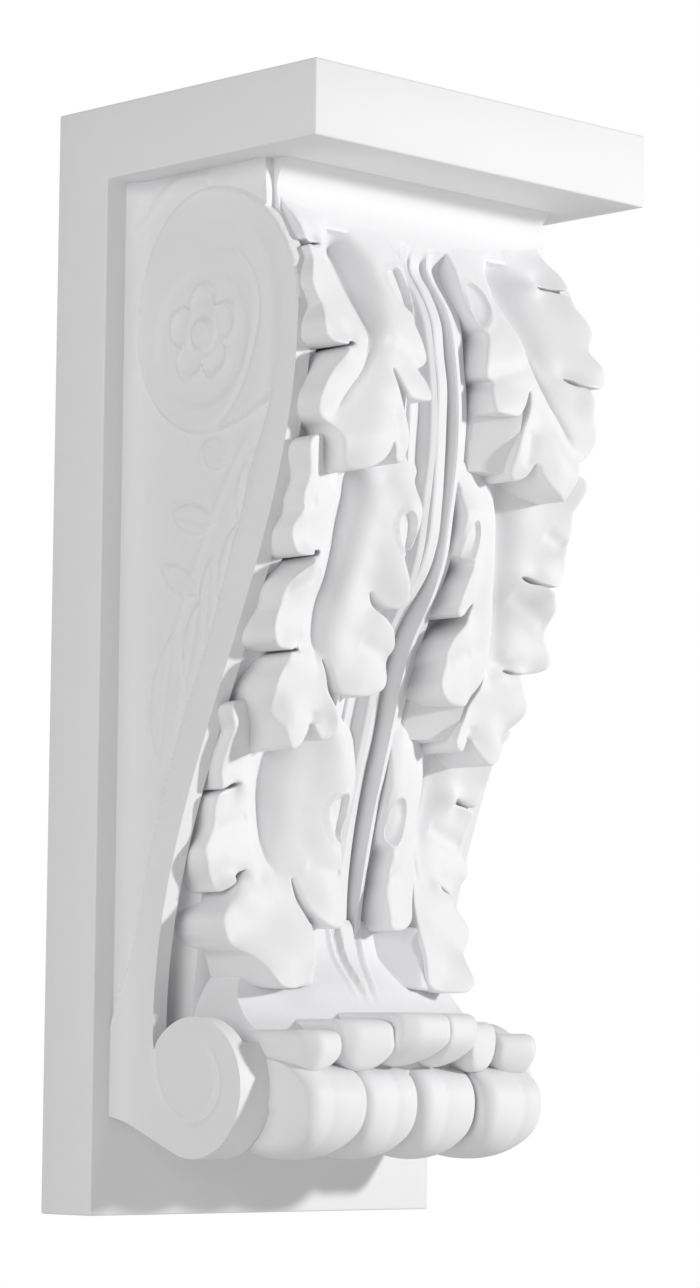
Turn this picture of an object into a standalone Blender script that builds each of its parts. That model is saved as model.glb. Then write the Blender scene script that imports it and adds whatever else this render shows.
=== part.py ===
"""Console bracket: a scroll corbel cast in one piece, with an acanthus leaf down its front.

Frame: X across, +Y into the wall, +Z up. The origin is the middle of the face that goes on the
wall. Heights in the functions below are counted up from the bottom edge of the wall plate, and
depths forward from the wall face.
"""

import math

import bmesh
import bpy
import numpy as np

MM = 0.001

# The square block: a wall plate with a slab across its top.
HEIGHT = 300 * MM
WIDTH = 128 * MM
DEPTH = 101.5 * MM
SLAB_THICKNESS = 20.4 * MM
PLATE_THICKNESS = 20.2 * MM
SLAB_UNDERSIDE = HEIGHT - SLAB_THICKNESS

# The scroll body, narrower than the block. Its front edge is one long S.
SCROLL_HALF_WIDTH = 55.4 * MM
FIELD_SINK = 1.6 * MM
S_LOW_HEIGHT, S_LOW_DEPTH = 50 * MM, 34.5 * MM
S_HIGH_HEIGHT, S_HIGH_DEPTH = 238 * MM, 87 * MM
UPPER_EYE_DEPTH = 50 * MM
UPPER_TOP_HEIGHT = 274 * MM
UPPER_BACK_DEPTH = 23.5 * MM
UPPER_BOTTOM_HEIGHT = 208 * MM
LOWER_EYE_DEPTH, LOWER_EYE_HEIGHT = 50.2 * MM, 34.2 * MM
LOWER_RADIUS = 18.6 * MM
FOOT_HEIGHT = 26.5 * MM
# How far in front of the upper eye the scroll's top joins the slab.
NECK_REACH = 22 * MM
BAND_WIDTH = 8.5 * MM
BAND_END_TURN = 262
# The band's back edge below the S: depth beyond the plate, then height.
BAND_FOOT_TOP = 80 * MM
BAND_FOOT = ((5 * MM, 62 * MM), (1.5 * MM, 28.5 * MM))
ARC_STEPS, VOLUTE_STEPS, S_STEPS, INNER_S_STEPS = 14, 26, 40, 28

# The plain throat under the slab, and the collar above the petals.
THROAT_HEIGHT, THROAT_DEPTH = 272 * MM, 73.7 * MM
THROAT_FLARE = 4 * MM
COLLAR_TOP, COLLAR_BOTTOM = 78 * MM, 50 * MM
COLLAR_RISE, COLLAR_FLARE = 13 * MM, 21 * MM
COLLAR_CLEARANCE = 0.5 * MM
LOFT_BOTTOM = 44 * MM
LOFT_BACK = 24 * MM

# The leaf: three tiers, each a pair of blades with fingers along the outer edge.
LEAF_TOP = 262 * MM
TIER_ENDS = (197 * MM, 127 * MM, 64 * MM)
EDGE_HALF_WIDTH = 46.5 * MM
THROAT_HALF_WIDTH, COLLAR_HALF_WIDTH = 50 * MM, 45 * MM
FINGERTIPS = (243, 229, 210, 182, 165, 152, 138, 112, 93, 77)
FINGER_REACH = 5 * MM
FINGER_LENGTH = 8 * MM
BLADE_START_RISE, BLADE_END_RISE = 4.5 * MM, 13.5 * MM
LEAF_FADE = 24 * MM
# The stem starts sunk below the blades and climbs over them towards the foot.
STEM_HALF_WIDTH = 5 * MM
STEM_SUNK, STEM_CLIMB = 3.5 * MM, 16.5 * MM
STEM_CLIMB_TOP, STEM_CLIMB_LENGTH = 250 * MM, 160 * MM
# Across a blade: where each groove or fold lies, its width and its depth or rise.
GROOVE_AT, GROOVE_WIDTH, GROOVE_DROP = 8 * MM, 4 * MM, 4 * MM
FOLD_AT, FOLD_WIDTH, FOLD_RISE = 15 * MM, 7 * MM, 2.5 * MM
TROUGH_AT, TROUGH_WIDTH, TROUGH_DROP = 27 * MM, 15 * MM, 5 * MM
CREST_AT, CREST_FALL_WIDTH = 42 * MM, 9 * MM
EDGE_DROP, NOTCH_DROP = 3 * MM, 2 * MM
# Each blade ends in a long outer lobe at the crest and a shorter inner one beside the stem.
OUTER_LOBE_AT, INNER_LOBE_AT = 39 * MM, 22 * MM
OUTER_LOBE_WIDTH, INNER_LOBE_WIDTH = 13 * MM, 8 * MM
OUTER_LOBE_DROP, INNER_LOBE_DROP = 11 * MM, 7.5 * MM
LIP_LIFT = 8 * MM
LIP_FADE_ABOVE, LIP_FADE_BELOW = 40 * MM, 18 * MM
LIP_ROWS, LIP_CLEARANCE = (-0.6 * MM, 0.4 * MM), 1.2 * MM
LOFT_COLUMNS, LOFT_ROWS = 38, 72

# The roll of petals at the foot.
ROLL_HALF_WIDTH = 44 * MM
LOWER_PETALS, UPPER_PETALS = 4, 6
LOWER_PETAL_AXES = (13.2 * MM, 27 * MM, 19.2 * MM)
LOWER_PETAL_DEPTH, LOWER_PETAL_HEIGHT = 54.2 * MM, 35.4 * MM
UPPER_PETAL_AXES = (8.6 * MM, 15 * MM, 9.6 * MM)
UPPER_PETAL_DEPTH, UPPER_PETAL_BULGE = 66 * MM, 8 * MM
UPPER_PETAL_HEIGHT, UPPER_PETAL_ARCH = 44 * MM, 3 * MM

# Low relief on both sides.
ROSETTE_DEPTH, ROSETTE_HEIGHT = 50.5 * MM, 233.5 * MM
ROSETTE_PETALS, ROSETTE_RING = 5, 10 * MM
ROSETTE_PETAL_AXES = (2.6 * MM, 6.2 * MM, 5.2 * MM)
ROSETTE_BOSS_AXES = (3.4 * MM, 4.4 * MM, 4.4 * MM)
# Each husk leaf: depth and height of its middle, half its length, half its width, and its tilt
# forward from upright in degrees.
HUSKS = (
    (66, 190, 9, 3.2, -6),
    (55, 200, 6, 4.5, 50),
    (46, 185, 9, 4.2, 70),
    (60.5, 173, 12, 3.6, -14),
    (52, 163, 11, 3.8, -8),
    (40, 168, 9, 3.6, 60),
    (46, 152, 13, 4.4, -16),
    (37, 138, 17, 6.0, -14),
)
HUSK_RISE = 1.3 * MM

WHITE = (0.86, 0.86, 0.865, 1.0)


def clear_scene():
    for thing in list(bpy.data.objects):
        bpy.data.objects.remove(thing)


def collection_for(name, helper=False):
    group = bpy.data.collections.new(name)
    bpy.context.scene.collection.children.link(group)
    group.hide_render = helper
    return group


def smooth_step(t):
    t = np.clip(t, 0.0, 1.0)
    return t * t * (3 - 2 * t)


def bump(distance, width):
    """1 at distance 0, falling to 0 at the given width either way."""
    return smooth_step(1 - np.abs(distance) / width)


def s_depth(height):
    """Depth of the scroll's front edge: half a cosine wave between its two ends."""
    t = np.clip((height - S_LOW_HEIGHT) / (S_HIGH_HEIGHT - S_LOW_HEIGHT), 0, 1)
    middle = (S_LOW_DEPTH + S_HIGH_DEPTH) / 2
    swing = (S_HIGH_DEPTH - S_LOW_DEPTH) / 2
    return middle - swing * np.cos(math.pi * t)


def quarter(centre, depth_radius, height_radius, start, end, steps=ARC_STEPS):
    """Points (depth, height) on an ellipse, from one angle to another, in degrees."""
    turns = np.radians(np.linspace(start, end, steps + 1))
    return [
        (centre[0] + depth_radius * math.cos(a), centre[1] + height_radius * math.sin(a))
        for a in turns
    ]


def s_edge(low, high, steps, inset=0.0):
    """Points up the S, moved back from it by the inset."""
    heights = np.linspace(low, high, steps + 1)
    return [(float(s_depth(h)) - inset, float(h)) for h in heights]


def s_meets_volute():
    """Height at which the S runs into the lower volute's disc."""
    away = LOWER_EYE_DEPTH - S_LOW_DEPTH
    return LOWER_EYE_HEIGHT + math.sqrt(LOWER_RADIUS**2 - away**2)


def lower_volute():
    """The lower disc from its underside, round its front, to where the S leaves it."""
    run, drop = LOWER_EYE_DEPTH - PLATE_THICKNESS, LOWER_EYE_HEIGHT - FOOT_HEIGHT
    lean = math.degrees(math.atan2(drop, run) + math.acos(LOWER_RADIUS / math.hypot(run, drop)))
    start = -(180 - lean)
    meet = math.degrees(
        math.atan2(s_meets_volute() - LOWER_EYE_HEIGHT, S_LOW_DEPTH - LOWER_EYE_DEPTH)
    )
    eye = (LOWER_EYE_DEPTH, LOWER_EYE_HEIGHT)
    return quarter(eye, LOWER_RADIUS, LOWER_RADIUS, start, meet, VOLUTE_STEPS)[:-1]


def upper_front():
    eye = (UPPER_EYE_DEPTH, S_HIGH_HEIGHT)
    radii = (S_HIGH_DEPTH - UPPER_EYE_DEPTH, UPPER_TOP_HEIGHT - S_HIGH_HEIGHT)
    return quarter(eye, *radii, 0, 90)[1:]


def field_outline():
    """The sunk side field: the whole scroll, carried back into the plate and up into the slab."""
    inside_plate = PLATE_THICKNESS / 2
    inside_slab = SLAB_UNDERSIDE + SLAB_THICKNESS / 2
    neck = UPPER_EYE_DEPTH + NECK_REACH
    return (
        [(inside_plate, FOOT_HEIGHT), (PLATE_THICKNESS, FOOT_HEIGHT)]
        + lower_volute()
        + s_edge(s_meets_volute(), S_HIGH_HEIGHT, S_STEPS)
        + upper_front()[:8]
        + [(neck, SLAB_UNDERSIDE), (neck, inside_slab), (inside_plate, inside_slab)]
    )


def band_outline():
    """The raised flat band: lower disc, S, and round the upper volute to a tapered end."""
    front = S_HIGH_DEPTH - UPPER_EYE_DEPTH
    back = UPPER_EYE_DEPTH - UPPER_BACK_DEPTH
    top = UPPER_TOP_HEIGHT - S_HIGH_HEIGHT
    bottom = S_HIGH_HEIGHT - UPPER_BOTTOM_HEIGHT
    eye = (UPPER_EYE_DEPTH, S_HIGH_HEIGHT)
    outer = (
        lower_volute()
        + s_edge(s_meets_volute(), S_HIGH_HEIGHT, S_STEPS)
        + upper_front()
        + quarter(eye, back, top, 90, 180)[1:]
        + quarter(eye, back, bottom, 180, BAND_END_TURN)[1:]
    )
    taper = (BAND_WIDTH, BAND_WIDTH * 0.75, BAND_WIDTH * 0.5)
    inner = (
        quarter(eye, back - taper[1], bottom - taper[2], BAND_END_TURN, 180)
        + quarter(eye, back - taper[1], top - taper[0], 180, 90)[1:]
        + quarter(eye, front - taper[0], top - taper[0], 90, 0)[1:]
        + s_edge(S_HIGH_HEIGHT, BAND_FOOT_TOP, INNER_S_STEPS, BAND_WIDTH)[1:]
    )
    return outer + inner + [(PLATE_THICKNESS + depth, height) for depth, height in BAND_FOOT]


def block_outline():
    return [
        (0, 0),
        (PLATE_THICKNESS, 0),
        (PLATE_THICKNESS, SLAB_UNDERSIDE),
        (DEPTH, SLAB_UNDERSIDE),
        (DEPTH, HEIGHT),
        (0, HEIGHT),
    ]


def extruded(name, outline, half_width, group, foot):
    """A flat outline of (depth, height) points made a slab of twice the half width across X."""
    curve = bpy.data.curves.new(name, "CURVE")
    curve.dimensions = "2D"
    curve.fill_mode = "BOTH"
    curve.extrude = half_width
    spline = curve.splines.new("POLY")
    spline.points.add(len(outline) - 1)
    for point, (depth, height) in zip(spline.points, outline):
        point.co = (-depth, height, 0, 1)
    spline.use_cyclic_u = True
    drawn = bpy.data.objects.new(name + "_outline", curve)
    group.objects.link(drawn)
    drawn.rotation_euler = (math.radians(90), 0, math.radians(90))
    bpy.context.view_layer.update()
    graph = bpy.context.evaluated_depsgraph_get()
    mesh = bpy.data.meshes.new_from_object(drawn.evaluated_get(graph))
    made = bpy.data.objects.new(name, mesh)
    made.matrix_world = drawn.matrix_world
    bpy.data.objects.remove(drawn)
    weld(mesh)
    group.objects.link(made)
    made.parent = foot
    return made


def weld(mesh):
    shape = bmesh.new()
    shape.from_mesh(mesh)
    bmesh.ops.remove_doubles(shape, verts=shape.verts, dist=0.00001)
    bmesh.ops.recalc_face_normals(shape, faces=shape.faces)
    shape.to_mesh(mesh)
    shape.free()


def tier_of(height):
    """Which tier a height lies in, and how far down it, from 0 at its top to 1 at its end."""
    tops = (LEAF_TOP,) + TIER_ENDS[:-1]
    for number, (top, end) in enumerate(zip(tops, TIER_ENDS)):
        if height >= end:
            return number, (top - height) / (top - end)
    return len(TIER_ENDS), 0.0


def finger_at(height):
    """1 on a fingertip of the leaf's outer edge, 0 in the notch between two."""
    near = min(abs(height - tip * MM) for tip in FINGERTIPS)
    return float(bump(near, FINGER_LENGTH))


def edge_at(height):
    """Half the loft's width: plain at the throat and the collar, fingered down the leaf."""
    if height > LEAF_TOP:
        return THROAT_HALF_WIDTH
    if height < TIER_ENDS[-1]:
        return COLLAR_HALF_WIDTH
    return EDGE_HALF_WIDTH + FINGER_REACH * finger_at(height)


def stem_rise(height):
    """The middle stem starts sunk below the blades and stands proud at the foot."""
    climbed = float(smooth_step((STEM_CLIMB_TOP - height) / STEM_CLIMB_LENGTH))
    return STEM_CLIMB * climbed - STEM_SUNK


def blade_rise(across, height):
    """How far the leaf stands forward of the S, from the carved section across a blade."""
    number, down = tier_of(height)
    crest = BLADE_START_RISE + (BLADE_END_RISE - BLADE_START_RISE) * float(smooth_step(down * 1.1))
    shade = 1 - 0.35 * down
    x = abs(across)
    rise = crest
    rise -= TROUGH_DROP * shade * float(bump(x - TROUGH_AT, TROUGH_WIDTH))
    rise += FOLD_RISE * float(bump(x - FOLD_AT, FOLD_WIDTH)) * down
    outside = float(smooth_step((x - CREST_AT) / CREST_FALL_WIDTH))
    rise -= (EDGE_DROP + NOTCH_DROP * (1 - finger_at(height))) * outside
    stem = stem_rise(height)
    to_stem = float(smooth_step((FOLD_AT - x) / (FOLD_AT - STEM_HALF_WIDTH)))
    rise = rise + (stem - rise) * to_stem
    return rise - GROOVE_DROP * float(bump(x - GROOVE_AT, GROOVE_WIDTH)) * (1 - 0.5 * down)


def lip_shift(across, row):
    """Moves a row of the loft up beside the stem and down at the lobes, so that lips are lobed."""
    x = abs(across)
    lobes = OUTER_LOBE_DROP * float(bump(x - OUTER_LOBE_AT, OUTER_LOBE_WIDTH))
    lobes += INNER_LOBE_DROP * float(bump(x - INNER_LOBE_AT, INNER_LOBE_WIDTH))
    above = float(smooth_step((LEAF_TOP - row) / LIP_FADE_ABOVE))
    below = float(smooth_step((row - LOFT_BOTTOM) / LIP_FADE_BELOW))
    return (LIP_LIFT - lobes) * above * below


def throat_depth(height):
    """The plain cove: out to the leaf below its narrowest height, and out to the slab above."""
    if height >= THROAT_HEIGHT:
        t = (height - THROAT_HEIGHT) / (SLAB_UNDERSIDE - THROAT_HEIGHT)
        return THROAT_DEPTH + THROAT_FLARE * t * t
    t = (THROAT_HEIGHT - height) / (THROAT_HEIGHT - S_HIGH_HEIGHT)
    return THROAT_DEPTH + (S_HIGH_DEPTH - THROAT_DEPTH) * float(smooth_step(t))


def collar_depth(height):
    """The plain collar flares forward from the foot of the leaf to the petals."""
    t = min(1.0, (COLLAR_TOP - height) / (COLLAR_TOP - COLLAR_BOTTOM))
    return float(s_depth(height)) + COLLAR_RISE + COLLAR_FLARE * t * t


def front_depth(across, row, height):
    """Depth of the front at a true height, with the carving of the loft's row that lies there."""
    if row < TIER_ENDS[-1]:
        return collar_depth(height)
    base = throat_depth(height) if height > S_HIGH_HEIGHT else float(s_depth(height))
    leaf = blade_rise(across, row) * float(smooth_step((LEAF_TOP - row) / LEAF_FADE))
    if height < COLLAR_TOP:
        return max(base + leaf, collar_depth(height) + COLLAR_CLEARANCE)
    return base + leaf


def loft_heights():
    """Even rows, with a close pair at each tier's end so that its lip stands square."""
    top = SLAB_UNDERSIDE + SLAB_THICKNESS / 2
    even = list(np.linspace(LOFT_BOTTOM, top, LOFT_ROWS))
    lips = [end + step for end in TIER_ENDS for step in LIP_ROWS]
    kept = [h for h in even if min(abs(h - lip) for lip in lips) > LIP_CLEARANCE]
    return sorted(kept + lips)


def front_loft(group, foot):
    """Throat, leaf and collar: a grid bent over the S, closed by a flat back inside the scroll."""
    heights = loft_heights()
    bpy.ops.mesh.primitive_grid_add(
        x_subdivisions=LOFT_COLUMNS, y_subdivisions=len(heights) - 1, size=1
    )
    loft = bpy.context.object
    loft.name = "leaf_and_throat"
    for vertex in loft.data.vertices:
        across = round((vertex.co.x + 0.5) * LOFT_COLUMNS) / LOFT_COLUMNS * 2 - 1
        row = heights[round((vertex.co.y + 0.5) * (len(heights) - 1))]
        x = across * edge_at(row)
        height = row + lip_shift(x, row)
        vertex.co = (x, -front_depth(x, row, height), height)
    shape = bmesh.new()
    shape.from_mesh(loft.data)
    rim = [edge for edge in shape.edges if edge.is_boundary]
    grown = bmesh.ops.extrude_edge_only(shape, edges=rim)["geom"]
    for vertex in (item for item in grown if isinstance(item, bmesh.types.BMVert)):
        vertex.co.y = -LOFT_BACK
    bmesh.ops.holes_fill(shape, edges=[edge for edge in shape.edges if edge.is_boundary])
    bmesh.ops.recalc_face_normals(shape, faces=shape.faces)
    shape.to_mesh(loft.data)
    shape.free()
    into_group(loft, group, foot)


def into_group(thing, group, foot):
    for owner in list(thing.users_collection):
        owner.objects.unlink(thing)
    group.objects.link(thing)
    thing.parent = foot


def ball(name, place, axes, group, foot, tilt=0.0, segments=12, rings=8):
    """An egg-shaped lump at (across, depth, height), with its half axes in X, Y and Z."""
    across, depth, height = place
    bpy.ops.mesh.primitive_uv_sphere_add(segments=segments, ring_count=rings, radius=1)
    lump = bpy.context.object
    lump.name = name
    lump.scale = axes
    lump.rotation_euler = (math.radians(tilt), 0, 0)
    lump.location = (across, -depth, height)
    into_group(lump, group, foot)


def petal_roll(group, foot):
    """Four broad petals under six small ones, bulging over the lower disc."""
    pitch = 2 * ROLL_HALF_WIDTH / LOWER_PETALS
    for number in range(LOWER_PETALS):
        across = -ROLL_HALF_WIDTH + pitch * (number + 0.5)
        place = (across, LOWER_PETAL_DEPTH, LOWER_PETAL_HEIGHT)
        ball(f"lower_petal_{number + 1}", place, LOWER_PETAL_AXES, group, foot, segments=16)
    pitch = 2 * ROLL_HALF_WIDTH / UPPER_PETALS
    for number in range(UPPER_PETALS):
        across = -ROLL_HALF_WIDTH + pitch * (number + 0.5)
        middle = 1 - (across / ROLL_HALF_WIDTH) ** 2
        depth = UPPER_PETAL_DEPTH + UPPER_PETAL_BULGE * middle
        height = UPPER_PETAL_HEIGHT + UPPER_PETAL_ARCH * middle
        place = (across, depth, height)
        ball(f"upper_petal_{number + 1}", place, UPPER_PETAL_AXES, group, foot)


def rosette(side, group, foot):
    face = side * (SCROLL_HALF_WIDTH - FIELD_SINK)
    place = (face, ROSETTE_DEPTH, ROSETTE_HEIGHT)
    ball("rosette_boss", place, ROSETTE_BOSS_AXES, group, foot, segments=10, rings=6)
    for number in range(ROSETTE_PETALS):
        turn = 2 * math.pi * (number + 0.25) / ROSETTE_PETALS
        depth = ROSETTE_DEPTH + ROSETTE_RING * math.cos(turn)
        height = ROSETTE_HEIGHT + ROSETTE_RING * math.sin(turn)
        place = (face, depth, height)
        ball("rosette_petal", place, ROSETTE_PETAL_AXES, group, foot, segments=10, rings=6)


def husk_chain(side, group, foot):
    face = side * (SCROLL_HALF_WIDTH - FIELD_SINK)
    for depth, height, length, width, tilt in HUSKS:
        axes = (HUSK_RISE, width * MM, length * MM)
        place = (face, depth * MM, height * MM)
        ball("husk", place, axes, group, foot, tilt, segments=8, rings=6)


def white_finish():
    finish = bpy.data.materials.new("white_primer")
    finish.use_nodes = True
    shader = finish.node_tree.nodes["Principled BSDF"]
    shader.inputs["Base Color"].default_value = WHITE
    shader.inputs["Roughness"].default_value = 0.6
    shader.inputs["Metallic"].default_value = 0.0
    finish.diffuse_color = WHITE
    return finish


def fused(block, lumps):
    """The block with every other shape cast onto it, as one solid."""
    joint = block.modifiers.new("cast in one", "BOOLEAN")
    joint.operation = "UNION"
    joint.operand_type = "COLLECTION"
    joint.collection = lumps
    joint.solver = "EXACT"
    joint.use_self = True


def main():
    clear_scene()
    parts = collection_for("console bracket")
    lumps = collection_for("shapes cast on", helper=True)
    foot = bpy.data.objects.new("foot_of_plate", None)
    foot.location = (0, 0, -HEIGHT / 2)
    parts.objects.link(foot)
    block = extruded("console_bracket", block_outline(), WIDTH / 2, parts, foot)
    field_half_width = SCROLL_HALF_WIDTH - FIELD_SINK
    extruded("scroll_field", field_outline(), field_half_width, lumps, foot)
    extruded("scroll_band", band_outline(), SCROLL_HALF_WIDTH, lumps, foot)
    front_loft(lumps, foot)
    petal_roll(lumps, foot)
    for side in (-1, 1):
        rosette(side, lumps, foot)
        husk_chain(side, lumps, foot)
    for lump in lumps.objects:
        lump.hide_render = True
        lump.display_type = "WIRE"
    fused(block, lumps)
    block.data.materials.append(white_finish())


main()
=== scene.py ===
"""Scroll console bracket: the carved surface of the cast, its primer finish, and a plain studio.

Lengths in the carving functions are millimetres: across from the middle, forward of the wall, and
up from the bottom of the plate. "Rise" is how far a surface stands forward of the scroll's S edge.
"""

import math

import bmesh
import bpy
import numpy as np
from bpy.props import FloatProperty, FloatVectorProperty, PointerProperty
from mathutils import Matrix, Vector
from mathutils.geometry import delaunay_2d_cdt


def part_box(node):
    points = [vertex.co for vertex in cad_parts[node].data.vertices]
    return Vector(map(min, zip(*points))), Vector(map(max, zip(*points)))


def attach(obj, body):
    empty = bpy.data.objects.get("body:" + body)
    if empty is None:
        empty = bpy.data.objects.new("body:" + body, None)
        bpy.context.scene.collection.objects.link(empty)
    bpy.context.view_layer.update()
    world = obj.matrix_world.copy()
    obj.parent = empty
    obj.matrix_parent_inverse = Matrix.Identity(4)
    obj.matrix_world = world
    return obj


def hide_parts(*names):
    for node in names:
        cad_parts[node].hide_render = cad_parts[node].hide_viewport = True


bl_info = {
    "name": "Console Bracket Carver",
    "version": (1, 0, 0),
    "blender": (4, 5, 0),
    "location": "3D View > Sidebar > Bracket",
    "description": "Carves a scroll console bracket with an acanthus leaf, and lights it",
    "category": "Object",
}

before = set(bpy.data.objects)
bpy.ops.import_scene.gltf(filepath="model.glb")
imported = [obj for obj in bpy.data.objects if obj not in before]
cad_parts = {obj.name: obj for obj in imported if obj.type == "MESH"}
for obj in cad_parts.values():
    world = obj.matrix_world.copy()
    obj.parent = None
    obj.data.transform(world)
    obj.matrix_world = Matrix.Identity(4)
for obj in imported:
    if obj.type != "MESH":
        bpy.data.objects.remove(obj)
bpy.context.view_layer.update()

NODE = "console_bracket"
LOW, HIGH = (Vector(corner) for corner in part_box(NODE))
MM = 0.001
ACROSS, FORWARD = 0, 1
HALF_HEIGHT = (HIGH.z - LOW.z) / 2 / MM
HALF_WIDTH = (HIGH.x - LOW.x) / 2 / MM
REACH = -LOW.y / MM


# ---------------------------------------------------------------- curves and surfaces


def placed(across, forward, height):
    """Carving lengths as points in metres, in the bracket's own frame."""
    return np.stack([across, -np.asarray(forward), height - HALF_HEIGHT], axis=-1) * MM


def eased(t):
    """0 to 1, starting and ending gently."""
    t = np.clip(t, 0.0, 1.0)
    return t * t * (3 - 2 * t)


def hump(distance, width):
    """1 at distance 0, falling smoothly to 0 at the given width either way."""
    return eased(1 - np.abs(distance) / width)


def quarter(share):
    """How far a quarter circle has fallen from its top, at each share of its width."""
    return 1 - np.sqrt(1 - np.clip(share, 0, 1) ** 2)


def through(stations):
    """A smooth curve through (position, value) stations, as a function of position."""
    knots, values = np.array(sorted(stations), float).T
    slopes = np.gradient(values, knots)

    def at(position):
        where = np.clip(np.asarray(position, float), knots[0], knots[-1])
        left = np.clip(np.searchsorted(knots, where) - 1, 0, len(knots) - 2)
        span = knots[left + 1] - knots[left]
        t = (where - knots[left]) / span
        start = (1 + 2 * t) * (1 - t) ** 2 * values[left] + t * (1 - t) ** 2 * span * slopes[left]
        end = t * t * (3 - 2 * t) * values[left + 1] + t * t * (t - 1) * span * slopes[left + 1]
        return start + end

    return at


SHEET_UNIT, SHEET_GIVE = 50.0, 0.0002


def kernel(places, centres):
    """How much a thin plate bent at each centre is moved at each place."""
    square = ((places[:, None] - centres[None]) ** 2).sum(-1)
    return 0.5 * square * np.log(square + 1e-12)


def stretched_over(points):
    """The thin sheet that bends least over (across, height, rise) points, as a function."""
    points = np.array(points, float)
    places, rises = points[:, :2] / SHEET_UNIT, points[:, 2]
    count = len(places)
    flat = np.c_[np.ones(count), places]
    system = np.zeros((count + 3, count + 3))
    system[:count, :count] = kernel(places, places) + SHEET_GIVE * np.eye(count)
    system[:count, count:] = flat
    system[count:, :count] = flat.T
    weights = np.linalg.solve(system, np.r_[rises, 0, 0, 0])

    def at(across, height):
        where = np.c_[np.ravel(across), np.ravel(height)] / SHEET_UNIT
        level = np.c_[np.ones(len(where)), where] @ weights[count:]
        return (kernel(where, places) @ weights[:count] + level).reshape(np.shape(across))

    return at


def rounded(points, step, closed=True):
    """Points every step along a smooth curve through the given ones."""
    points = [np.array(point, float) for point in points]
    count = len(points)
    made = []
    for number in range(count if closed else count - 1):
        if closed:
            before, start, end, after = (points[(number + k - 1) % count] for k in range(4))
        else:
            start, end = points[number], points[number + 1]
            before = points[number - 1] if number else start
            after = points[number + 2] if number + 2 < count else end
        pieces = max(1, round(float(np.linalg.norm((end - start)[:2])) / step))
        for t in np.arange(pieces) / pieces:
            made.append(
                0.5
                * (
                    2 * start
                    + (end - before) * t
                    + (2 * before - 5 * start + 4 * end - after) * t * t
                    + (3 * start - before - 3 * end + after) * t**3
                )
            )
    if not closed:
        made.append(points[-1])
    return np.array(made)


def distance_to(path, places, closed=False):
    """Each place's distance from a path, and how far along it the nearest point is, 0 to 1."""
    ends = np.roll(path, -1, axis=0) if closed else path[1:]
    starts = path if closed else path[:-1]
    run = ends - starts
    length = (run**2).sum(1) + 1e-12
    away = places[:, None] - starts[None]
    t = np.clip((away * run[None]).sum(-1) / length[None], 0, 1)
    gap = ((away - t[..., None] * run[None]) ** 2).sum(-1)
    nearest = gap.argmin(1)
    rows = np.arange(len(places))
    along = (nearest + t[rows, nearest]) / len(run)
    return np.sqrt(gap[rows, nearest]), along


def inside(outline, places):
    """True for each place inside a closed outline."""
    within = np.zeros(len(places), bool)
    for (x0, z0), (x1, z1) in zip(outline, np.roll(outline, -1, axis=0)):
        if z0 == z1:
            continue
        crosses = (places[:, 1] < z0) != (places[:, 1] < z1)
        meets = x0 + (places[:, 1] - z0) * (x1 - x0) / (z1 - z0)
        within ^= crosses & (places[:, 0] < meets)
    return within


# ---------------------------------------------------------------- meshes


def deselect_all():
    if bpy.context.object and bpy.context.object.mode != "OBJECT":
        bpy.ops.object.mode_set(mode="OBJECT")
    bpy.ops.object.select_all(action="DESELECT")


def only(thing):
    deselect_all()
    thing.select_set(True)
    bpy.context.view_layer.objects.active = thing


def solid_from(name, points, faces):
    """A closed mesh with its faces turned outwards."""
    mesh = bpy.data.meshes.new(name)
    mesh.from_pydata([tuple(point) for point in points], [], faces)
    thing = bpy.data.objects.new(name, mesh)
    bpy.context.collection.objects.link(thing)
    face_outwards(thing)
    return thing


def face_outwards(thing):
    shape = bmesh.new()
    shape.from_mesh(thing.data)
    bmesh.ops.recalc_face_normals(shape, faces=shape.faces)
    shape.to_mesh(thing.data)
    shape.free()


def applied(thing, kind, **settings):
    """Adds a modifier with these settings and applies it."""
    only(thing)
    added = thing.modifiers.new(kind.lower(), kind)
    for name, value in settings.items():
        setattr(added, name, value)
    bpy.ops.object.modifier_apply(modifier=added.name)
    return thing


def combined(base, other, operation="UNION"):
    """One closed solid from two, and the second is used up."""
    applied(base, "BOOLEAN", object=other, operation=operation, solver="MANIFOLD")
    bpy.data.objects.remove(other)
    return base


def vertex_places(thing):
    """Where its vertices are, as rows of x, y and z."""
    flat = np.empty(len(thing.data.vertices) * 3)
    thing.data.vertices.foreach_get("co", flat)
    return flat.reshape(-1, 3)


def bent_grid(name, columns, rows, surface):
    """A grid whose vertices are moved to surface(s, t), with s and t from 0 to 1."""
    deselect_all()
    bpy.ops.mesh.primitive_grid_add(x_subdivisions=columns, y_subdivisions=rows, size=1)
    sheet = bpy.context.object
    sheet.name = name
    flat = vertex_places(sheet)
    moved = surface(
        np.round((flat[:, 0] + 0.5) * columns) / columns,
        np.round((flat[:, 1] + 0.5) * rows) / rows,
    )
    sheet.data.vertices.foreach_set("co", moved.ravel())
    return sheet


def walled(sheet, axis, level):
    """Closes an open sheet with straight walls to the plane at this level on an axis."""
    shape = bmesh.new()
    shape.from_mesh(sheet.data)
    rim = [edge for edge in shape.edges if edge.is_boundary]
    grown = bmesh.ops.extrude_edge_only(shape, edges=rim)["geom"]
    for vertex in (item for item in grown if isinstance(item, bmesh.types.BMVert)):
        vertex.co[axis] = level * MM
    bmesh.ops.holes_fill(shape, edges=[edge for edge in shape.edges if edge.is_boundary])
    bmesh.ops.recalc_face_normals(shape, faces=shape.faces)
    shape.to_mesh(sheet.data)
    shape.free()
    return sheet


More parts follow.
